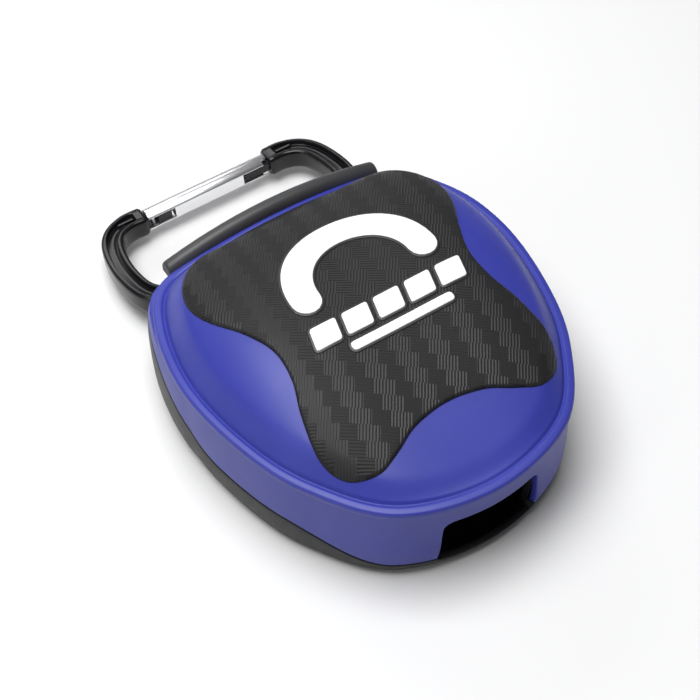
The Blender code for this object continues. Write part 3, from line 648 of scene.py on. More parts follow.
def weave_axes(look):
    """Distances along and across the weave's rows, in millimetres."""
    split = look.node("ShaderNodeSeparateXYZ", Vector=look.place)
    x = look.math("MULTIPLY", split.outputs[0], 1 / MM)
    y = look.math("MULTIPLY", split.outputs[1], 1 / MM)
    cos = math.cos(WEAVE_TURN)
    sin = math.sin(WEAVE_TURN)
    along = look.math("ADD", look.math("MULTIPLY", x, cos), look.math("MULTIPLY", y, sin))
    across = look.math("SUBTRACT", look.math("MULTIPLY", y, cos), look.math("MULTIPLY", x, sin))
    return along, across


def weave_ribs(look, distance):
    """Height of a row of ribs, from 0.5 to 1 at its ends and middle."""
    turn = look.math("MULTIPLY", distance, math.tau / WEAVE_RIB)
    return look.span(look.math("SINE", turn), 0.5, 1.0)


def weave_relief(look):
    """Where the weave's blocks are, as 0 or 1, and the height of its ribs."""
    place, across = weave_axes(look)
    row = look.math("FLOOR", look.math("DIVIDE", across, WEAVE_ROW))
    along = look.math("ADD", place, look.math("MULTIPLY", row, WEAVE_SHIFT))
    phase = look.math("FRACT", look.math("DIVIDE", along, WEAVE_PERIOD))
    block = look.math("LESS_THAN", phase, WEAVE_SHARE)
    crosswise = weave_ribs(look, along)
    change = look.math("SUBTRACT", weave_ribs(look, across), crosswise)
    return block, look.math("ADD", crosswise, look.math("MULTIPLY", block, change))


def weave_finish():
    """Black rubber moulded with a twill of ribbed blocks that step down to the right; the blocks whose ribs
    run along the row are painted darker, as painted shade for how their ribs catch less light.
    """
    look = Finish("pad_weave", (0.03, 0.03, 0.032), 0.6)
    block, height = weave_relief(look)
    worn = look.noise(160, 3.0)
    # painted shade: one rubber, with the blocks whose ribs run along the row given a darker colour to stand
    # in for the light their ribs turn away
    colour = look.blend(block, (0.015, 0.015, 0.016), (0.007, 0.007, 0.008))
    colour = look.blend(look.math("MULTIPLY", worn, 0.35), colour, (0.015, 0.015, 0.016))
    rough = look.math("ADD", look.span(block, 0.50, 0.62), look.span(worn, -0.04, 0.04))
    fine = look.bump(look.noise(6000, 2.0), 0.01)
    look.set(Base_Color=colour, Roughness=rough, Specular_IOR_Level=0.32,
             Normal=look.bump(height, 0.065, 1.0, fine))
    return look.material


# Satin royal blue, slightly translucent.
BLUE = moulded("lid_blue", ((0.034, 0.042, 0.29), 0.36), (0.026, 0.034, 0.27), (0.036, 0.046, 0.34),
               ((55, 3.0), (260, 3.0)), (0.42, 0.50), (5200, 2.0), 0.010, Specular_IOR_Level=0.38,
               Subsurface_Weight=0.10, Subsurface_Scale=0.002, Subsurface_Radius=(0.2, 0.25, 1.0),
               Coat_Weight=0.06, Coat_Roughness=0.25)
BLACK = moulded("base_black", ((0.012, 0.012, 0.013), 0.5), (0.006, 0.006, 0.007),
                (0.011, 0.011, 0.012), ((90, 3.0), (400, 2.0)), (0.42, 0.54), (4200, 3.0), 0.02,
                Specular_IOR_Level=0.3)
WEAVE = weave_finish()
BORDER = rubber_finish("emblem_border_rubber", (0.012, 0.012, 0.013), 0.4)
BAR = rubber_finish("bar_rubber", (0.026, 0.026, 0.028), 0.46)
WHITE = moulded("emblem_white", ((0.82, 0.82, 0.83), 0.42), (0.80, 0.80, 0.81), (0.86, 0.86, 0.87),
                ((140, 3.0), (600, 2.0)), (0.36, 0.48), (4500, 2.0), 0.008)
# Gloss black coating, dulled a little where straps rub.
COATED = moulded("carabiner_black", ((0.010, 0.010, 0.011), 0.2), (0.004, 0.004, 0.005),
                 (0.009, 0.009, 0.010), ((230, 4.0), (230, 4.0)), (0.16, 0.3), (2600, 2.0), 0.006,
                 Specular_IOR_Level=0.32, Coat_Weight=0.08, Coat_Roughness=0.12)
SILVER = metal_finish("gate_aluminium", (0.80, 0.80, 0.82), 0.30, (0.03, 1, 1))
STEEL = metal_finish("pin_steel", (0.60, 0.60, 0.62), 0.28, (1, 1, 0.2))
GUARD = rubber_finish("guard_rubber", (0.016, 0.016, 0.02), 0.42)
# Soft blue gel in the mouthguard.
GEL = moulded("guard_gel", ((0.02, 0.035, 0.2), 0.3), (0.015, 0.026, 0.15), (0.03, 0.05, 0.26),
              ((110, 3.0), (500, 2.0)), (0.24, 0.38), (2500, 2.0), 0.012,
              Subsurface_Weight=0.2, Subsurface_Scale=0.002, Subsurface_Radius=(0.2, 0.3, 1.0))


# ---- case

DOME_SHARES = [0.03, 0.08, 0.14, 0.2, 0.27, 0.34, 0.41, 0.48, 0.54, 0.6, 0.65, 0.7, 0.74, 0.78, 0.81,
               0.835, 0.855, 0.87, 0.885, 0.896, 0.906, 0.915, 0.923, 0.93, 0.936, 0.941, 0.946, 0.95,
               0.954, 0.958, 0.962, 0.966, 0.97, 0.975, 0.98, 0.986, 0.993, 1.0]
INNER_SHARES = [0.97, 0.93, 0.88, 0.82, 0.75, 0.66, 0.56, 0.45, 0.33, 0.2, 0.08]
WALL_STEPS = 18
EDGE_STEPS = 4
INNER_STEPS = 8


def lid_top(index):
    """Section of the lid's upper surface: the dome from its middle to the rim, then the bead."""
    rim = RIM[index]
    fallen = rim_height(rim) - BEAD_SOFT
    line = []
    for share in DOME_SHARES:
        plan = CENTRE.lerp(rim, share)
        soft = BEAD_SOFT * bead_fall(share) / bead_fall(1.0)
        line.append(Vector((plan.x, plan.y, dome_height(plan, rim, share) - soft)))
    for depth, drop in BEAD:
        line.append(rim.to_3d() + RIM_OUT[index].to_3d() * depth + UP * (fallen - drop))
    return line


def bead_fall(share):
    """Shape of the bead's fall between the groove and the rim."""
    return smooth_step((share - GROOVE_END) / BEAD_SOFT_LENGTH)


def edge_inward(index):
    """Direction from the skirt's lower edge into the skirt, square to the edge."""
    before = side_point(index - 1, lower_edge((index - 1) % RIM_COUNT))
    next_index = (index + 1) % RIM_COUNT
    after = side_point(next_index, lower_edge(next_index))
    return RIM_OUT[index].to_3d().cross((after - before).normalized()).normalized()


def skirt_outside(index, foot):
    """Section of the skirt's outer face, from the bead down to the foot of the face."""
    top = rim_height(RIM[index]) - BEAD_SOFT - BEAD_FOOT
    shift = foot - side_point(index, foot.z)
    line = []
    for step in range(WALL_STEPS + 1):
        t = step / WALL_STEPS
        line.append(side_point(index, mix(top, foot.z, t)) + shift * t ** 4)
    return line


def skirt_edge(index, edge, inward, wall):
    """Section of the skirt's lower edge: a quarter round at the outer face and one at the inner face."""
    out = RIM_OUT[index].to_3d()
    arc = [math.pi / 2 * step / EDGE_STEPS for step in range(1, EDGE_STEPS + 1)]
    line = []
    for turn in arc:
        rise = EDGE_R * (1 - math.sin(turn))
        line.append(edge + inward * rise - out * EDGE_R * (1 - math.cos(turn)))
    for turn in [0.0] + arc:
        depth = wall - EDGE_R * (1 - math.sin(turn))
        line.append(edge + inward * EDGE_R * (1 - math.cos(turn)) - out * depth)
    return line


def lid_inside(index, foot, wall):
    """Section of the lid's inside, from the foot of the skirt's inner face to the dome's middle."""
    rim = RIM[index]
    top = max(rim_height(rim) - INNER_DROP, foot.z + INNER_LEAST)
    shift = foot - side_point(index, foot.z, wall)
    line = []
    for step in range(1, INNER_STEPS + 1):
        t = step / INNER_STEPS
        line.append(side_point(index, mix(foot.z, top, t), wall) + shift * (1 - t) ** 4)
    inner_rim = rim - RIM_OUT[index] * (wall + INNER_RIM)
    for share in INNER_SHARES:
        plan = CENTRE.lerp(inner_rim, share)
        above = dome_height(CENTRE.lerp(rim, share), rim, share)
        line.append(Vector((plan.x, plan.y, min(crown(plan), above) - SHELL)))
    return line


def lid_column(index):
    """Section of the lid at a rim point, from the dome's middle to the middle of its inside."""
    edge = side_point(index, lower_edge(index))
    inward = edge_inward(index)
    wall = lid_wall(index)
    rounding = skirt_edge(index, edge, inward, wall)
    outside = lid_top(index) + skirt_outside(index, edge + inward * EDGE_R)
    return outside + rounding + lid_inside(index, rounding[-1], wall)


def build_lid():
    """The blue shell with its bead, skirt and window."""
    middle = Vector((CENTRE.x, CENTRE.y, crown(CENTRE)))
    rings = rings_from(lid_column, columns())
    lid = loft("lid_shell_moulding", rings, BLUE, [middle, middle - UP * SHELL], smooth=50)
    belongs(lid, "lid", "lid_plastic", "lid_shell")


def notch_share(index, start):
    """1 in the base's notch behind the window, falling to 0 beside it from the given half width."""
    x = abs(side_point(index, BULGE_Z, LID_WALL).x)
    front = RIM[index].y < 0
    return 1 - smooth_step((x - start) / NOTCH_SIDE) if front else 0.0


def base_outside(index, top):
    """Section of the base's outer face, from the underside up to the inner end of its rounded edge."""
    low = FOOT_ROUND[-1][1]
    high = top - BASE_EDGE_DROP
    line = [side_point(index, height, depth) for depth, height in FOOT_ROUND]
    for step in range(1, BASE_STEPS + 1):
        line.append(side_point(index, mix(low, high, step / BASE_STEPS)))
    line += [side_point(index, top - drop, depth) for depth, drop in BASE_EDGE]
    return line


def lip_height(index, top, notch):
    """Height of the lip inside the lid's skirt, which falls to the base's edge in the notch."""
    rise = mix(LIP_RISE, LIP_REAR_RISE, ramp(RIM[index].y, LIP_REAR_SPAN))
    return mix(max(top + rise, LIP_FRONT_Z), top + LIP_LEAST, notch)


def lip_section(ledge, wall, top, height):
    """Depths and heights of the lip, up its outer face and over its rounded top."""
    cut = min(LIP_ROUND, (height - top) * 0.6)
    soft = cut * 0.3
    return [(ledge, top), (ledge, height - cut), (ledge + soft, height - soft), (ledge + cut, height),
            (ledge + wall - cut, height), (ledge + wall - soft, height - soft),
            (ledge + wall, height - cut)]


def base_column(index):
    """Section of the base's wall at a rim point, from the underside to the floor."""
    notch = notch_share(index, NOTCH_HALF)
    thin = notch_share(index, NOTCH_HALF - NOTCH_SIDE)  # so the lip is in place before it rises
    top = parting(index) - GAP - NOTCH_DROP * notch
    ledge = mix(lid_wall(index) + GAP, NOTCH_LEDGE, thin)
    wall = mix(LIP_WALL, NOTCH_WALL, thin)
    lip = lip_section(ledge, wall, top, lip_height(index, top, notch))
    column = base_outside(index, top)
    column += [side_point(index, height, depth) for depth, height in lip]
    inner = ledge + wall
    start = min(lip[-1][1], top)
    for step in range(1, BASE_INNER_STEPS + 1):
        height = mix(start, FLOOR_FILLET[0][1], step / BASE_INNER_STEPS)
        column.append(side_point(index, height, inner))
    column += [side_point(index, height, inner + depth) for depth, height in FLOOR_FILLET]
    return column


def base_mesh():
    """The base as one closed body: its wall, and a floor with drain slots through it."""
    wall = rings_from(base_column, columns())
    points = [point for ring in wall for point in ring]
    width = len(wall[0])
    faces = []
    for row in range(len(wall) - 1):
        faces += band(row * width, (row + 1) * width, width)
    loops = [list(range(width)), list(range((len(wall) - 1) * width, len(wall) * width))]
    for number in range(SLOTS):
        x = (number - (SLOTS - 1) / 2) * SLOT_PITCH
        half = SLOT_HALF - SLOT_STEP * abs(number - (SLOTS - 1) / 2)
        start = len(points)
        for grow, z in SLOT_ROUND:
            outline = stadium(x, SLOT_Y, SLOT_R + grow, half + grow)
            points += [Vector((px, py, z)) for px, py in outline]
        sides = len(outline)
        for row in range(len(SLOT_ROUND) - 1):
            faces += band(start + row * sides, start + (row + 1) * sides, sides)
        loops.append(list(range(start, start + sides)))
        loops.append(list(range(len(points) - sides, len(points))))
    return piece("base_shell_moulding", points, faces + flat_fill(points, loops), BLACK, 50)


def flat_fill(points, loops):
    """Triangles that fill the flat regions bounded by the loops, at each loop height."""
    faces = []
    for level in sorted({round(points[loop[0]].z, 3) for loop in loops}):
        shape = bmesh.new()
        number = {}
        for loop in loops:
            if abs(points[loop[0]].z - level) > 0.001:
                continue
            verts = []
            for index in loop:
                vert = shape.verts.new((points[index].x, points[index].y, 0))
                number[vert] = index
                verts.append(vert)
            for place, vert in enumerate(verts):
                shape.edges.new((vert, verts[place - 1]))
        bmesh.ops.triangle_fill(shape, use_beauty=True, use_dissolve=False, edges=shape.edges)
        faces += [tuple(number[vert] for vert in face.verts) for face in shape.faces]
        shape.free()
    return faces


def bake_modifiers(thing):
    """Replace the object's mesh with its evaluated one."""
    bpy.context.view_layer.update()
    graph = bpy.context.evaluated_depsgraph_get()
    data = bpy.data.meshes.new_from_object(thing.evaluated_get(graph))
    thing.modifiers.clear()
    thing.data = data


def stadium(x, y, radius, half, steps=10):
    """A slot outline with round ends, long in Y."""
    points = []
    for end, start_angle in ((half - radius, 0.0), (radius - half, math.pi)):
        for step in range(steps + 1):
            angle = start_angle + math.pi * step / steps
            points.append((x + radius * math.cos(angle), y + end + radius * math.sin(angle)))
    return points


def build_base():
    """The black lower shell, its knuckles and the lug that holds the carabiner."""
    belongs(base_mesh(), "base", "base_plastic", "base_shell")
    inner_edge, lid_edge, outer_edge = KNUCKLE_EDGES
    spans = [(-outer_edge, -lid_edge - GAP / 2), (-inner_edge, inner_edge), (lid_edge + GAP / 2, outer_edge)]
    for number, (start, end) in enumerate(spans):
        barrel = along_x("base_knuckle_%d" % (number + 1), base_knuckle_section(), start, end, BLACK)
        belongs(bevelled(barrel, KNUCKLE_BEVEL), "base", "base_plastic")
    belongs(build_lug(), "base", "base_plastic")


def barrel_arc(start, sweep):
    """Part of the hinge barrel's outline, in Y and Z."""
    arc = []
    for step in range(KNUCKLE_STEPS + 1):
        angle = start - sweep * step / KNUCKLE_STEPS
        arc.append((HINGE_Y + KNUCKLE_R * math.cos(angle), HINGE_Z + KNUCKLE_R * math.sin(angle)))
    return arc


def base_knuckle_section():
    """A hinge barrel with a flat web that joins it to the case, in Y and Z."""
    low, high = BASE_WEB
    start = math.pi - math.asin(high / KNUCKLE_R)
    end = math.pi - math.asin(low / KNUCKLE_R)
    root = [(BASE_WEB_Y, HINGE_Z + low), (BASE_WEB_Y, HINGE_Z + high)]
    return root + barrel_arc(start, math.tau - (end - start))


def lid_knuckle_section():
    """A barrel whose web rises to the lid's rear web, in Y and Z."""
    turn = math.radians(LID_KNUCKLE_TURN)
    return barrel_arc(turn, 2 * turn) + [(y, HINGE_Z + rise) for y, rise in LID_KNUCKLE_WEB]


def along_x(name, section, start, end, finish):
    """A section in Y and Z carried straight along X."""
    return loft(name, [[Vector((x, y, z)) for y, z in section] for x in (start, end)], finish)


def both_ends(half, end):
    """A profile along an axis with the same end twice: (distance in from the end, size) pairs."""
    low = [(inward - half, size) for inward, size in end]
    high = [(half - inward, size) for inward, size in reversed(end)]
    return low + high


def lug_outside(y, z):
    """Distance from the lug's axis to its outline: round at the rear and square towards the case."""
    if y >= 0:
        return LUG_R
    least = 0.01
    reach = LUG_R if z > 0 else LUG_FOOT
    return min(LUG_FRONT / max(-y, least), reach / max(abs(z), least))


def build_lug():
    """The eye behind the base that the carabiner's spine turns in."""
    profile = both_ends(LUG_HALF, [(0.0, 0.4), (0.12, 0.12), (0.4, 0.0)])
    rings = []
    for step in range(LUG_STEPS):
        angle = math.tau * step / LUG_STEPS
        y, z = math.cos(angle), math.sin(angle)
        ring = [(x, lug_outside(y, z) - inward) for x, inward in profile]
        ring += [(x, LUG_BORE_R + inward) for x, inward in reversed(profile)]
        rings.append([Vector((x, SPINE_Y + y * radius, SPINE_Z + z * radius)) for x, radius in ring])
    return loft("base_carabiner_lug", rings, BLACK, closed=True)


def build_lid_knuckles():
    """The two blue knuckles under the bar and the web that carries them."""
    inner_edge, lid_edge, _ = KNUCKLE_EDGES
    spans = [(-lid_edge + GAP / 2, -inner_edge - GAP), (inner_edge + GAP, lid_edge - GAP / 2)]
    for number, (start, end) in enumerate(spans):
        barrel = along_x("lid_knuckle_%d" % (number + 1), lid_knuckle_section(), start, end, BLUE)
        belongs(bevelled(barrel, KNUCKLE_BEVEL), "lid", "lid_plastic")
    front, rear = LID_WEB_Y
    foot = HINGE_Z + LID_WEB_FOOT
    rings = []
    for x in range(-LID_WEB_HALF, LID_WEB_HALF + 1):
        top = BAR_FOOT_Z - 0.1 + BAR_ARCH * arch(x)
        section = [(front, foot), (rear - LID_WEB_EDGE, foot), (rear, foot + LID_WEB_EDGE),
                   (rear, top), (front, top)]
        rings.append([Vector((x, y, z)) for y, z in section])
    belongs(loft("lid_rear_web", rings, BLUE), "lid", "lid_plastic")


def build_pin():
    """The steel hinge pin, with domed ends."""
    profile = both_ends(KNUCKLE_EDGES[2], [(-0.25, 0.35), (-0.12, 0.75), (0.15, PIN_R)])
    pin = turned("hinge_pin_steel", profile, Matrix.Translation((0, HINGE_Y, HINGE_Z)), STEEL)
    belongs(pin, "base", "pin_steel", "hinge_pin")


def turned(name, profile, place, finish, sides=32):
    """A turned body whose axis is X: (x, radius) pairs, then placed."""
    rings = []
    for x, radius in profile:
        ring = []
        for step in range(sides):
            angle = math.tau * step / sides
            ring.append(place @ Vector((x, radius * math.cos(angle), radius * math.sin(angle))))
        rings.append(ring)
    return loft(name, rings, finish)


# ---- pad, emblem and bar

def pad_ring(outline, share, lift):
    """The pad's outline drawn in towards its centre, on the lid."""
    return [on_lid(PAD_CENTRE.lerp(point, share), lift) for point in outline]


def build_pad():
    """The ribbed rubber pad, with a rounded edge that stands on the lid."""
    outline = even_points(spline_through(mirrored(PAD_HALF), True, 30), PAD_POINTS, True)
    normals = normals_of(outline, 3)
    rings = []
    for step in range(PAD_RINGS):
        rings.append(pad_ring(outline, mix(0.03, 0.93, step / (PAD_RINGS - 1)), PAD_TOP))
    for step in range(PAD_ROUND_STEPS + 1):
        angle = math.pi / 2 * step / PAD_ROUND_STEPS
        depth = PAD_ROUND * (1 - math.sin(angle))
        drop = PAD_ROUND * (1 - math.cos(angle))
        rings.append([on_lid(point, PAD_TOP - drop) for point in inset(outline, normals, depth)])
    rings.append([on_lid(point, -PAD_EDGE_SINK) for point in outline])
    for share in (0.9, 0.75, 0.6, 0.45, 0.3, 0.15):
        rings.append(pad_ring(outline, share, -PAD_SINK))
    tips = [on_lid(PAD_CENTRE, PAD_TOP), on_lid(PAD_CENTRE, -PAD_SINK)]
    pad = loft("grip_pad_rubber", rings, WEAVE, tips, smooth=60)
    belongs(pad, "lid", "pad_rubber", "lid_grip_pad")


def oval(x, y, radii, angles):
    """Points of an ellipse at the angles."""
    return [(x + radii[0] * math.cos(angle), y + radii[1] * math.sin(angle)) for angle in angles]


def arch_outline():
    """A plain horseshoe, open to the front."""
    turns = [math.pi * step / 32 for step in range(33)]
    ends = [math.pi * step / 8 for step in range(1, 8)]
    foot = (ARCH_OUTER[0] - ARCH_INNER[0]) / 2
    middle = (ARCH_OUTER[0] + ARCH_INNER[0]) / 2
    outer = oval(EMBLEM_X, ARCH_Y, ARCH_OUTER, turns)
    inner = oval(EMBLEM_X, ARCH_Y, ARCH_INNER, turns)
    left = oval(EMBLEM_X - middle, ARCH_Y, (-foot, -foot), ends)
    right = oval(EMBLEM_X + middle, ARCH_Y, (-foot, -foot), ends)
    return outer + left + inner[::-1] + right


def slanted_box(x, y, size, slant):
    """Corners of a box that leans to the right, anticlockwise."""
    half_x, half_y = size[0] / 2, size[1] / 2
    lean = slant / 2
    return [(x - half_x - lean, y - half_y), (x + half_x - lean, y - half_y),
            (x + half_x + lean, y + half_y), (x - half_x + lean, y + half_y)]


def rounded(corners, radius, steps=5):
    """A polygon with each corner replaced by a curve of about the radius."""
    count = len(corners)
    result = []
    for index in range(count):
        here = Vector(corners[index])
        before = (Vector(corners[index - 1]) - here).normalized() * radius
        after = (Vector(corners[(index + 1) % count]) - here).normalized() * radius
        for step in range(steps + 1):
            t = step / steps
            result.append(here + before * (1 - t) ** 2 + after * t ** 2)
    return result


def emblem_outlines():
    """Every emblem piece's name and outline, anticlockwise."""
    outlines = {"emblem_arch": arch_outline()}
    for index in range(BLOCKS):
        x = EMBLEM_X + (index - (BLOCKS - 1) / 2) * BLOCK_PITCH
        corners = slanted_box(x, BLOCK_Y, BLOCK_SIZE, BLOCK_SLANT)
        outlines["emblem_block_%d" % (index + 1)] = rounded(corners, BLOCK_CORNER)
    corners = slanted_box(EMBLEM_X, STRIPE_Y, STRIPE_SIZE, 0.0)
    outlines["emblem_stripe"] = rounded(corners, STRIPE_CORNER)
    return outlines


def raised(name, outline, grow, foot, top, edge, finish):
    """A flat-topped piece that follows the lid's surface, with a rounded edge."""
    path = [Vector(point) for point in outline]
    girth = sum((path[i] - path[i - 1]).length for i in range(len(path)))
    path = even_points(path, int(girth / OUTLINE_STEP), True)
    normals = normals_of(path)
    rings = [[on_lid(point, foot) for point in inset(path, normals, -grow)]]
    for step in range(4):
        angle = math.pi / 2 * (3 - step) / 3
        depth = edge * (1 - math.sin(angle)) - grow
        drop = edge * (1 - math.cos(angle))
        rings.append([on_lid(point, top - drop) for point in inset(path, normals, depth)])
    made = loft(name, rings, finish, smooth=55)
    split_wide_faces(made)
    return made


def split_wide_faces(thing):
    """Divide the faces with many corners into triangles."""
    shape = bmesh.new()
    shape.from_mesh(thing.data)
    wide = [face for face in shape.faces if len(face.verts) > 4]
    bmesh.ops.triangulate(shape, faces=wide, ngon_method="BEAUTY")
    shape.to_mesh(thing.data)
    shape.free()


def build_emblem():
    """The white pieces and the smooth black border round each."""
    for name, outline in emblem_outlines().items():
        white = raised(name + "_white", outline, 0.0, EMBLEM_FOOT, EMBLEM_TOP, EMBLEM_EDGE, WHITE)
        belongs(white, "lid", "emblem_white", name)
        border = raised(name + "_border", outline, EMBLEM_BORDER, BORDER_FOOT, BORDER_TOP,
                        BORDER_EDGE, BORDER)
        belongs(border, "lid", "pad_rubber")


def bar_section(margin):
    """Section of the rear bar: square foot with rounded edges, half-round top."""
    half = (BAR_REAR_Y - BAR_FRONT_Y) / 2 - margin
    top = BAR_TOP_Z - BAR_FOOT_Z - margin
    section = [(BAR_EDGE - half, margin), (half - BAR_EDGE, margin), (half - 0.1, margin + 0.1),
               (half, margin + BAR_EDGE)]
    for step in range(19):
        angle = math.pi * step / 18
        section.append((half * math.cos(angle), BAR_SHOULDER + (top - BAR_SHOULDER) * math.sin(angle)))
    return section + [(-half, margin + BAR_EDGE), (0.1 - half, margin + 0.1)]


def build_bar():
    """The arched rubber bar along the rear edge."""
    middle = (BAR_FRONT_Y + BAR_REAR_Y) / 2
    even = BAR_HALF - 1.0
    stations = [(inward - BAR_HALF, margin) for inward, margin in BAR_ENDS]
    stations += [(mix(-even, even, step / 70), 0.0) for step in range(71)]
    stations += [(BAR_HALF - inward, margin) for inward, margin in reversed(BAR_ENDS)]
    rings = []
    for x, margin in stations:
        lift = BAR_FOOT_Z + BAR_ARCH * arch(x)
        rings.append([Vector((x, middle + y, lift + z)) for y, z in bar_section(margin)])
    belongs(loft("rear_bar_rubber", rings, BAR), "lid", "bar_rubber", "rear_grip_bar")


# ---- carabiner

LOOP_PLACE = Matrix.Translation((LOOP_SLIDE, SPINE_Y, SPINE_Z)) @ Matrix.Rotation(LOOP_TILT, 4, "X")


def channel_section(depth):
    """Section of the loop: a rounded square whose upper and lower faces have a channel."""
    lip = ROD - FLANGE
    floor = ROD - depth
    ridge = 0.25 * depth / CHANNEL_DEPTH
    quarter = [(0.0, floor + ridge), (0.35, floor + ridge * 0.8), (0.7, floor + ridge * 0.2),
               (lip - 0.2, floor), (lip - 0.05, floor + 0.12 * depth), (lip + 0.05, ROD - 0.25 * depth),
               (lip + 0.18, ROD - 0.05), (lip + 0.4, ROD), (ROD - 0.75, ROD), (ROD - 0.42, ROD - 0.08),
               (ROD - 0.2, ROD - 0.22), (ROD - 0.07, ROD - 0.45), (ROD, ROD - 0.8), (ROD, 0.8)]
    right = quarter + [(x, -y) for x, y in reversed(quarter)]
    return right + [(-x, -y) for x, y in right[1:-1]]


def loop_path():
    """The loop's centre line from one end to the other."""
    left = [(-x, y) for x, y in reversed(LOOP_HALF[1:])]
    return even_points(spline_through(left + LOOP_HALF, False, 24), LOOP_POINTS, False)


def sides_along(path):
    """Unit vectors to the right of an open path in plan, one for each of its points."""
    ends = [path[0] * 2 - path[1]] + path + [path[-1] * 2 - path[-2]]
    sides = []
    for before, after in zip(ends, ends[2:]):
        along = (after - before).normalized()
        sides.append(Vector((along.y, -along.x)))
    return sides


def build_loop():
    """The black body of the carabiner."""
    path = loop_path()
    lengths = [0.0]
    for start, end in zip(path, path[1:]):
        lengths.append(lengths[-1] + (end - start).length)
    rings = []
    for point, side, distance in zip(path, sides_along(path), lengths):
        from_end = min(distance, lengths[-1] - distance)
        depth = CHANNEL_DEPTH * ramp(from_end, COLLAR_RAMP)
        taper = 1 - TIP_TAPER * (1 - smooth_step(from_end / TIP_LENGTH))
        ring = [(point + side * a * taper).to_3d() + UP * b * taper for a, b in channel_section(depth)]
        rings.append([LOOP_PLACE @ corner for corner in ring])
    body = loft("carabiner_loop_body", rings, COATED, smooth=32)
    belongs(body, "carabiner", "carabiner_black", "carabiner_body")
    for name, side in (("carabiner_tongue_pivot", 1), ("carabiner_tongue_catch", -1)):
        belongs(build_tongue(name, side), "carabiner", "carabiner_black")
    for name, side in (("carabiner_rib_right", 1), ("carabiner_rib_left", -1)):
        belongs(build_pocket_rib(name, side), "carabiner", "carabiner_black")


def build_pocket_rib(name, side):
    """The thin rib in the pocket beside the loop's end."""
    start, end = RIB_SPAN
    foot = ROD - CHANNEL_DEPTH
    v = LOOP_V - 0.1
    rings = []
    for u, height in ((start, 0.0), (start + 0.3, RIB_HEIGHT), (end - 0.8, RIB_HEIGHT), (end, 0.0)):
        top = foot + 0.1 + height
        corners = [(v - 0.32, foot), (v + 0.32, foot), (v + 0.2, top), (v - 0.2, top)]
        rings.append([LOOP_PLACE @ Vector((side * u, a, b)) for a, b in corners])
    return loft(name, rings, COATED)


def catch_seat(low):
    """Outline of the notch that the catch pin swings into, open on the tongue's inner edge."""
    seat = GATE_PIN_R + GAP
    half = seat - 0.1
    start = math.acos(half / seat)
    sweep = math.pi + 2 * start
    angles = [math.pi + start - sweep * step / 16 for step in range(17)]
    arc = oval(GATE_PIN_U, LOOP_V, (seat, seat), angles)
    return [(GATE_PIN_U - half, low)] + arc + [(GATE_PIN_U + half, low)]


def build_tongue(name, side):
    """A flat tongue that reaches into the gate's slot: plain at the pivot, notched at the catch."""
    low, high = LOOP_V - TONGUE_HALF, LOOP_V + TONGUE_HALF
    root = LOOP_HALF[-1][0] + 1.2
    nose = [(0.7, high), (0.2, high - 0.25), (0.0, high - 0.8),
            (0.0, low + 0.8), (0.2, low + 0.25), (0.7, low)]
    outline = [(root, high)] + [(TONGUE_TIP_U + u, v) for u, v in nose]
    if side < 0:
        outline += catch_seat(low)
    outline.append((root, low))
    rings = [[LOOP_PLACE @ Vector((side * u, v, w)) for u, v in outline] for w in (-TONGUE, TONGUE)]
    return bevelled(loft(name, rings, COATED), 0.12, 40)


def gate_cutters(place):
    """The bodies that cut the gate's two slots, its flat and the room round its pivot."""
    far, wide = 20, 5
    cuts = [((FORK_END_U, -wide, -FORK), (far, wide, FORK)),
            ((-far, -wide, -FORK), (-FORK_END_U, wide, FORK)),
            ((-far, -wide, -wide), (far, GATE_FLAT_V, wide)),
            ((GATE_PIN_U + 0.2, -wide, -wide), (far, -0.7, wide))]
    cutters = []
    for number, (low, high) in enumerate(cuts):
        corners = [(low[0], low[1]), (high[0], low[1]), (high[0], high[1]), (low[0], high[1])]
        rings = [[place @ Vector((u, v, w)) for u, v in corners] for w in (low[2], high[2])]
        cutters.append(loft("gate_cutter_%d" % number, rings, SILVER))
    return cutters


def build_gate():
    """The silver gate: a rod with a flat on its inner side and a slot at each end."""
    profile = both_ends(GATE_HALF, [(0.0, GATE_R - 0.18), (0.05, GATE_R - 0.07), (0.18, GATE_R)])
    place = LOOP_PLACE @ Matrix.Translation((0, LOOP_V, 0))
    gate = turned("gate_brushed", profile, place, SILVER, 96)
    cutters = gate_cutters(place)
    for cutter in cutters:
        step = gate.modifiers.new(cutter.name, "BOOLEAN")
        step.operation = "DIFFERENCE"
        step.solver = "EXACT"
        step.object = cutter
    bevelled(gate, 0.1, 35)
    bake_modifiers(gate)
    for cutter in cutters:
        bpy.data.objects.remove(cutter, do_unlink=True)
    gate.data.shade_smooth()
    gate.data.set_sharp_from_angle(angle=math.radians(30))
    belongs(gate, "gate", "gate_aluminium", "carabiner_gate")


def build_gate_pins():
    """The gate's two rivets, with domed ends flush with the rod."""
    profile = both_ends(GATE_R - 0.04, [(0.0, 0.3), (0.06, 0.55), (0.2, GATE_PIN_R)])
    pins = (("gate_pivot_pin", GATE_PIN_U, "carabiner"), ("gate_catch_pin", -GATE_PIN_U, "gate"))
    for name, u, body in pins:
        place = LOOP_PLACE @ Matrix.Translation((u, LOOP_V, 0)) @ Matrix.Rotation(math.pi / 2, 4, "Y")
        belongs(turned(name + "_rivet", profile, place, STEEL, 20), body, "pin_steel", name)


# ---- mouthguard

def guard_path(count):
    """Centre line of the mouthguard: two straight legs joined by a half ellipse at the front."""
    depth = GUARD_ARC_Y - GUARD_FRONT_Y
    path = [Vector((-GUARD_LEG_X, GUARD_REAR_Y))]
    for step in range(65):
        angle = math.pi * step / 64
        path.append(Vector((-GUARD_LEG_X * math.cos(angle), GUARD_ARC_Y - depth * math.sin(angle))))
    path.append(Vector((GUARD_LEG_X, GUARD_REAR_Y)))
    return even_points(path, count, False)


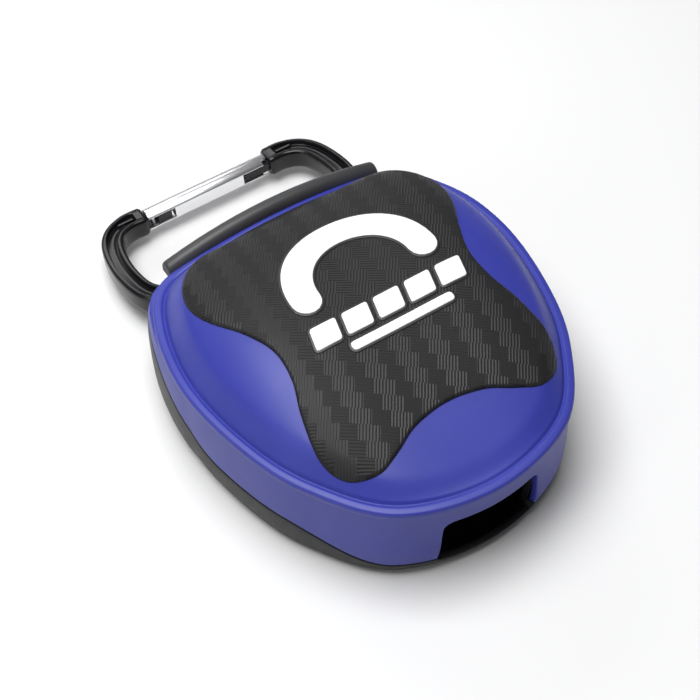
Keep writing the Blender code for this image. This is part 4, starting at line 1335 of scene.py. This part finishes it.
def trough(half, wall, foot, top, floor, margin):
    """Section of a trough that is open upwards, with rounded edges; the margin makes it smaller."""
    half -= margin
    inner = half - wall
    foot += margin / 2
    top -= margin / 2
    bottom = foot + floor - margin
    below = [(-half, foot + 0.6), (-half + 0.18, foot + 0.18), (-half + 0.6, foot)]
    below += [(-x, z) for x, z in reversed(below)]
    right = [(half, top - 0.8), (half - 0.2, top - 0.25), (half - wall / 2, top),
             (inner + 0.2, top - 0.25), (inner, top - 0.8), (inner, bottom + 0.9),
             (inner - 0.3, bottom + 0.3), (inner - 0.9, bottom)]
    return below + right + [(-x, z) for x, z in reversed(right)]


def guard_body(name, half, wall, foot, top, floor, dip, finish):
    """A trough along the dental arch whose walls dip between the teeth."""
    path = guard_path(GUARD_POINTS)
    rings = []
    for index, side in enumerate(sides_along(path)):
        from_end = min(index, GUARD_POINTS - 1 - index)
        margin = 0.8 * max(0.0, 1 - from_end / 3) ** 2
        fall = dip * (0.5 + 0.5 * math.cos(math.tau * index / TOOTH_PITCH))
        section = trough(half, wall, foot, top - fall, floor, margin)
        rings.append([(path[index] + side * a).to_3d() + UP * b for a, b in section])
    return loft(name, rings, finish, smooth=50)


def build_mouthguard():
    """The mouthguard that the case holds: a firm frame with a soft liner in its trough."""
    z = GUARD_FLOOR_Z
    shell = guard_body("mouthguard_frame_rubber", FRAME_HALF, FRAME_WALL, z, z + FRAME_TOP,
                       FRAME_FLOOR, FRAME_DIP, GUARD)
    belongs(shell, "base", "guard_rubber", "mouthguard_frame")
    half = FRAME_HALF - FRAME_WALL - GAP
    liner = guard_body("mouthguard_liner_gel", half, LINER_WALL, z + FRAME_FLOOR + GAP, z + LINER_TOP,
                       LINER_FLOOR, LINER_DIP, GEL)
    belongs(liner, "base", "guard_gel", "mouthguard_liner")


# ---- studio

def build_floor():
    """A plain pale floor."""
    look = Finish("floor_pale", (0.76, 0.76, 0.76), 0.6)
    look.set(Roughness=look.span(look.noise(12, 2.0), 0.55, 0.65))
    places = [mix(-STAGE_REACH, STAGE_REACH, step / STAGE_STEPS) for step in range(STAGE_STEPS + 1)]
    points = [(x, y, STAGE_Z) for y in places for x in places]
    faces = []
    for row in range(STAGE_STEPS):
        for column in range(STAGE_STEPS):
            start = row * len(places) + column
            faces.append((start, start + 1, start + len(places) + 1, start + len(places)))
    piece("floor", points, faces, look.material)


def add_light(name, place, target, size, power):
    """A square soft light aimed at a target, in millimetres and watts."""
    lamp = bpy.data.lights.new(name, "AREA")
    lamp.shape = "RECTANGLE"
    lamp.size = size[0] * MM
    lamp.size_y = size[1] * MM
    lamp.energy = power
    holder = bpy.data.objects.new(name, lamp)
    bpy.context.scene.collection.objects.link(holder)
    holder.location = Vector(place) * MM
    holder.rotation_euler = (Vector(target) - Vector(place)).to_track_quat("-Z", "Y").to_euler()


def build_lights():
    """Soft studio light from above, with weak fill from all round."""
    world = bpy.data.worlds.new("studio")
    world.use_nodes = True
    sky = world.node_tree.nodes["Background"]
    sky.inputs["Color"].default_value = (0.97, 0.98, 1.0, 1.0)
    sky.inputs["Strength"].default_value = 0.13
    bpy.context.scene.world = world
    bpy.context.scene.view_settings.view_transform = "Standard"
    middle = (0, 10, 15)
    add_light("overhead", (-90, 60, 620), middle, (420, 420), 5.0)
    add_light("rear_strip", (60, 560, 360), middle, (500, 160), 0.9)
    add_light("left_strip", (-560, -60, 300), middle, (160, 420), 0.5)


def build_camera():
    """The camera at the viewing angle, about 0.4 m away, looking down at 53 degrees."""
    back = Vector(CAMERA_BACK).normalized()
    level = Vector(CAMERA_RIGHT)
    level = (level - back * level.dot(back)).normalized()
    rise = back.cross(level)
    right = level * math.cos(CAMERA_ROLL) + rise * math.sin(CAMERA_ROLL)
    up = rise * math.cos(CAMERA_ROLL) - level * math.sin(CAMERA_ROLL)
    lens = bpy.data.cameras.new("camera")
    lens.sensor_width = 36.0
    lens.lens = 99.5
    lens.shift_x = -0.0616
    lens.shift_y = 0.00897
    lens.clip_start = 0.01
    holder = bpy.data.objects.new("camera", lens)
    bpy.context.scene.collection.objects.link(holder)
    place = Matrix((right, up, back)).transposed().to_4x4()
    place.translation = (Vector((0, 0, RIM_Z)) + back * CAMERA_DISTANCE) * MM
    holder.matrix_world = place
    bpy.context.scene.camera = holder


build_camera()
build_lid()
build_base()
build_lid_knuckles()
build_pin()
build_pad()
build_emblem()
build_bar()
build_loop()
build_gate()
build_gate_pins()
build_mouthguard()
for carried in ("gate_spring", "gate_plunger"):
    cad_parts[carried].data.materials.clear()
    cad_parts[carried].data.materials.append(STEEL)
build_floor()
build_lights()
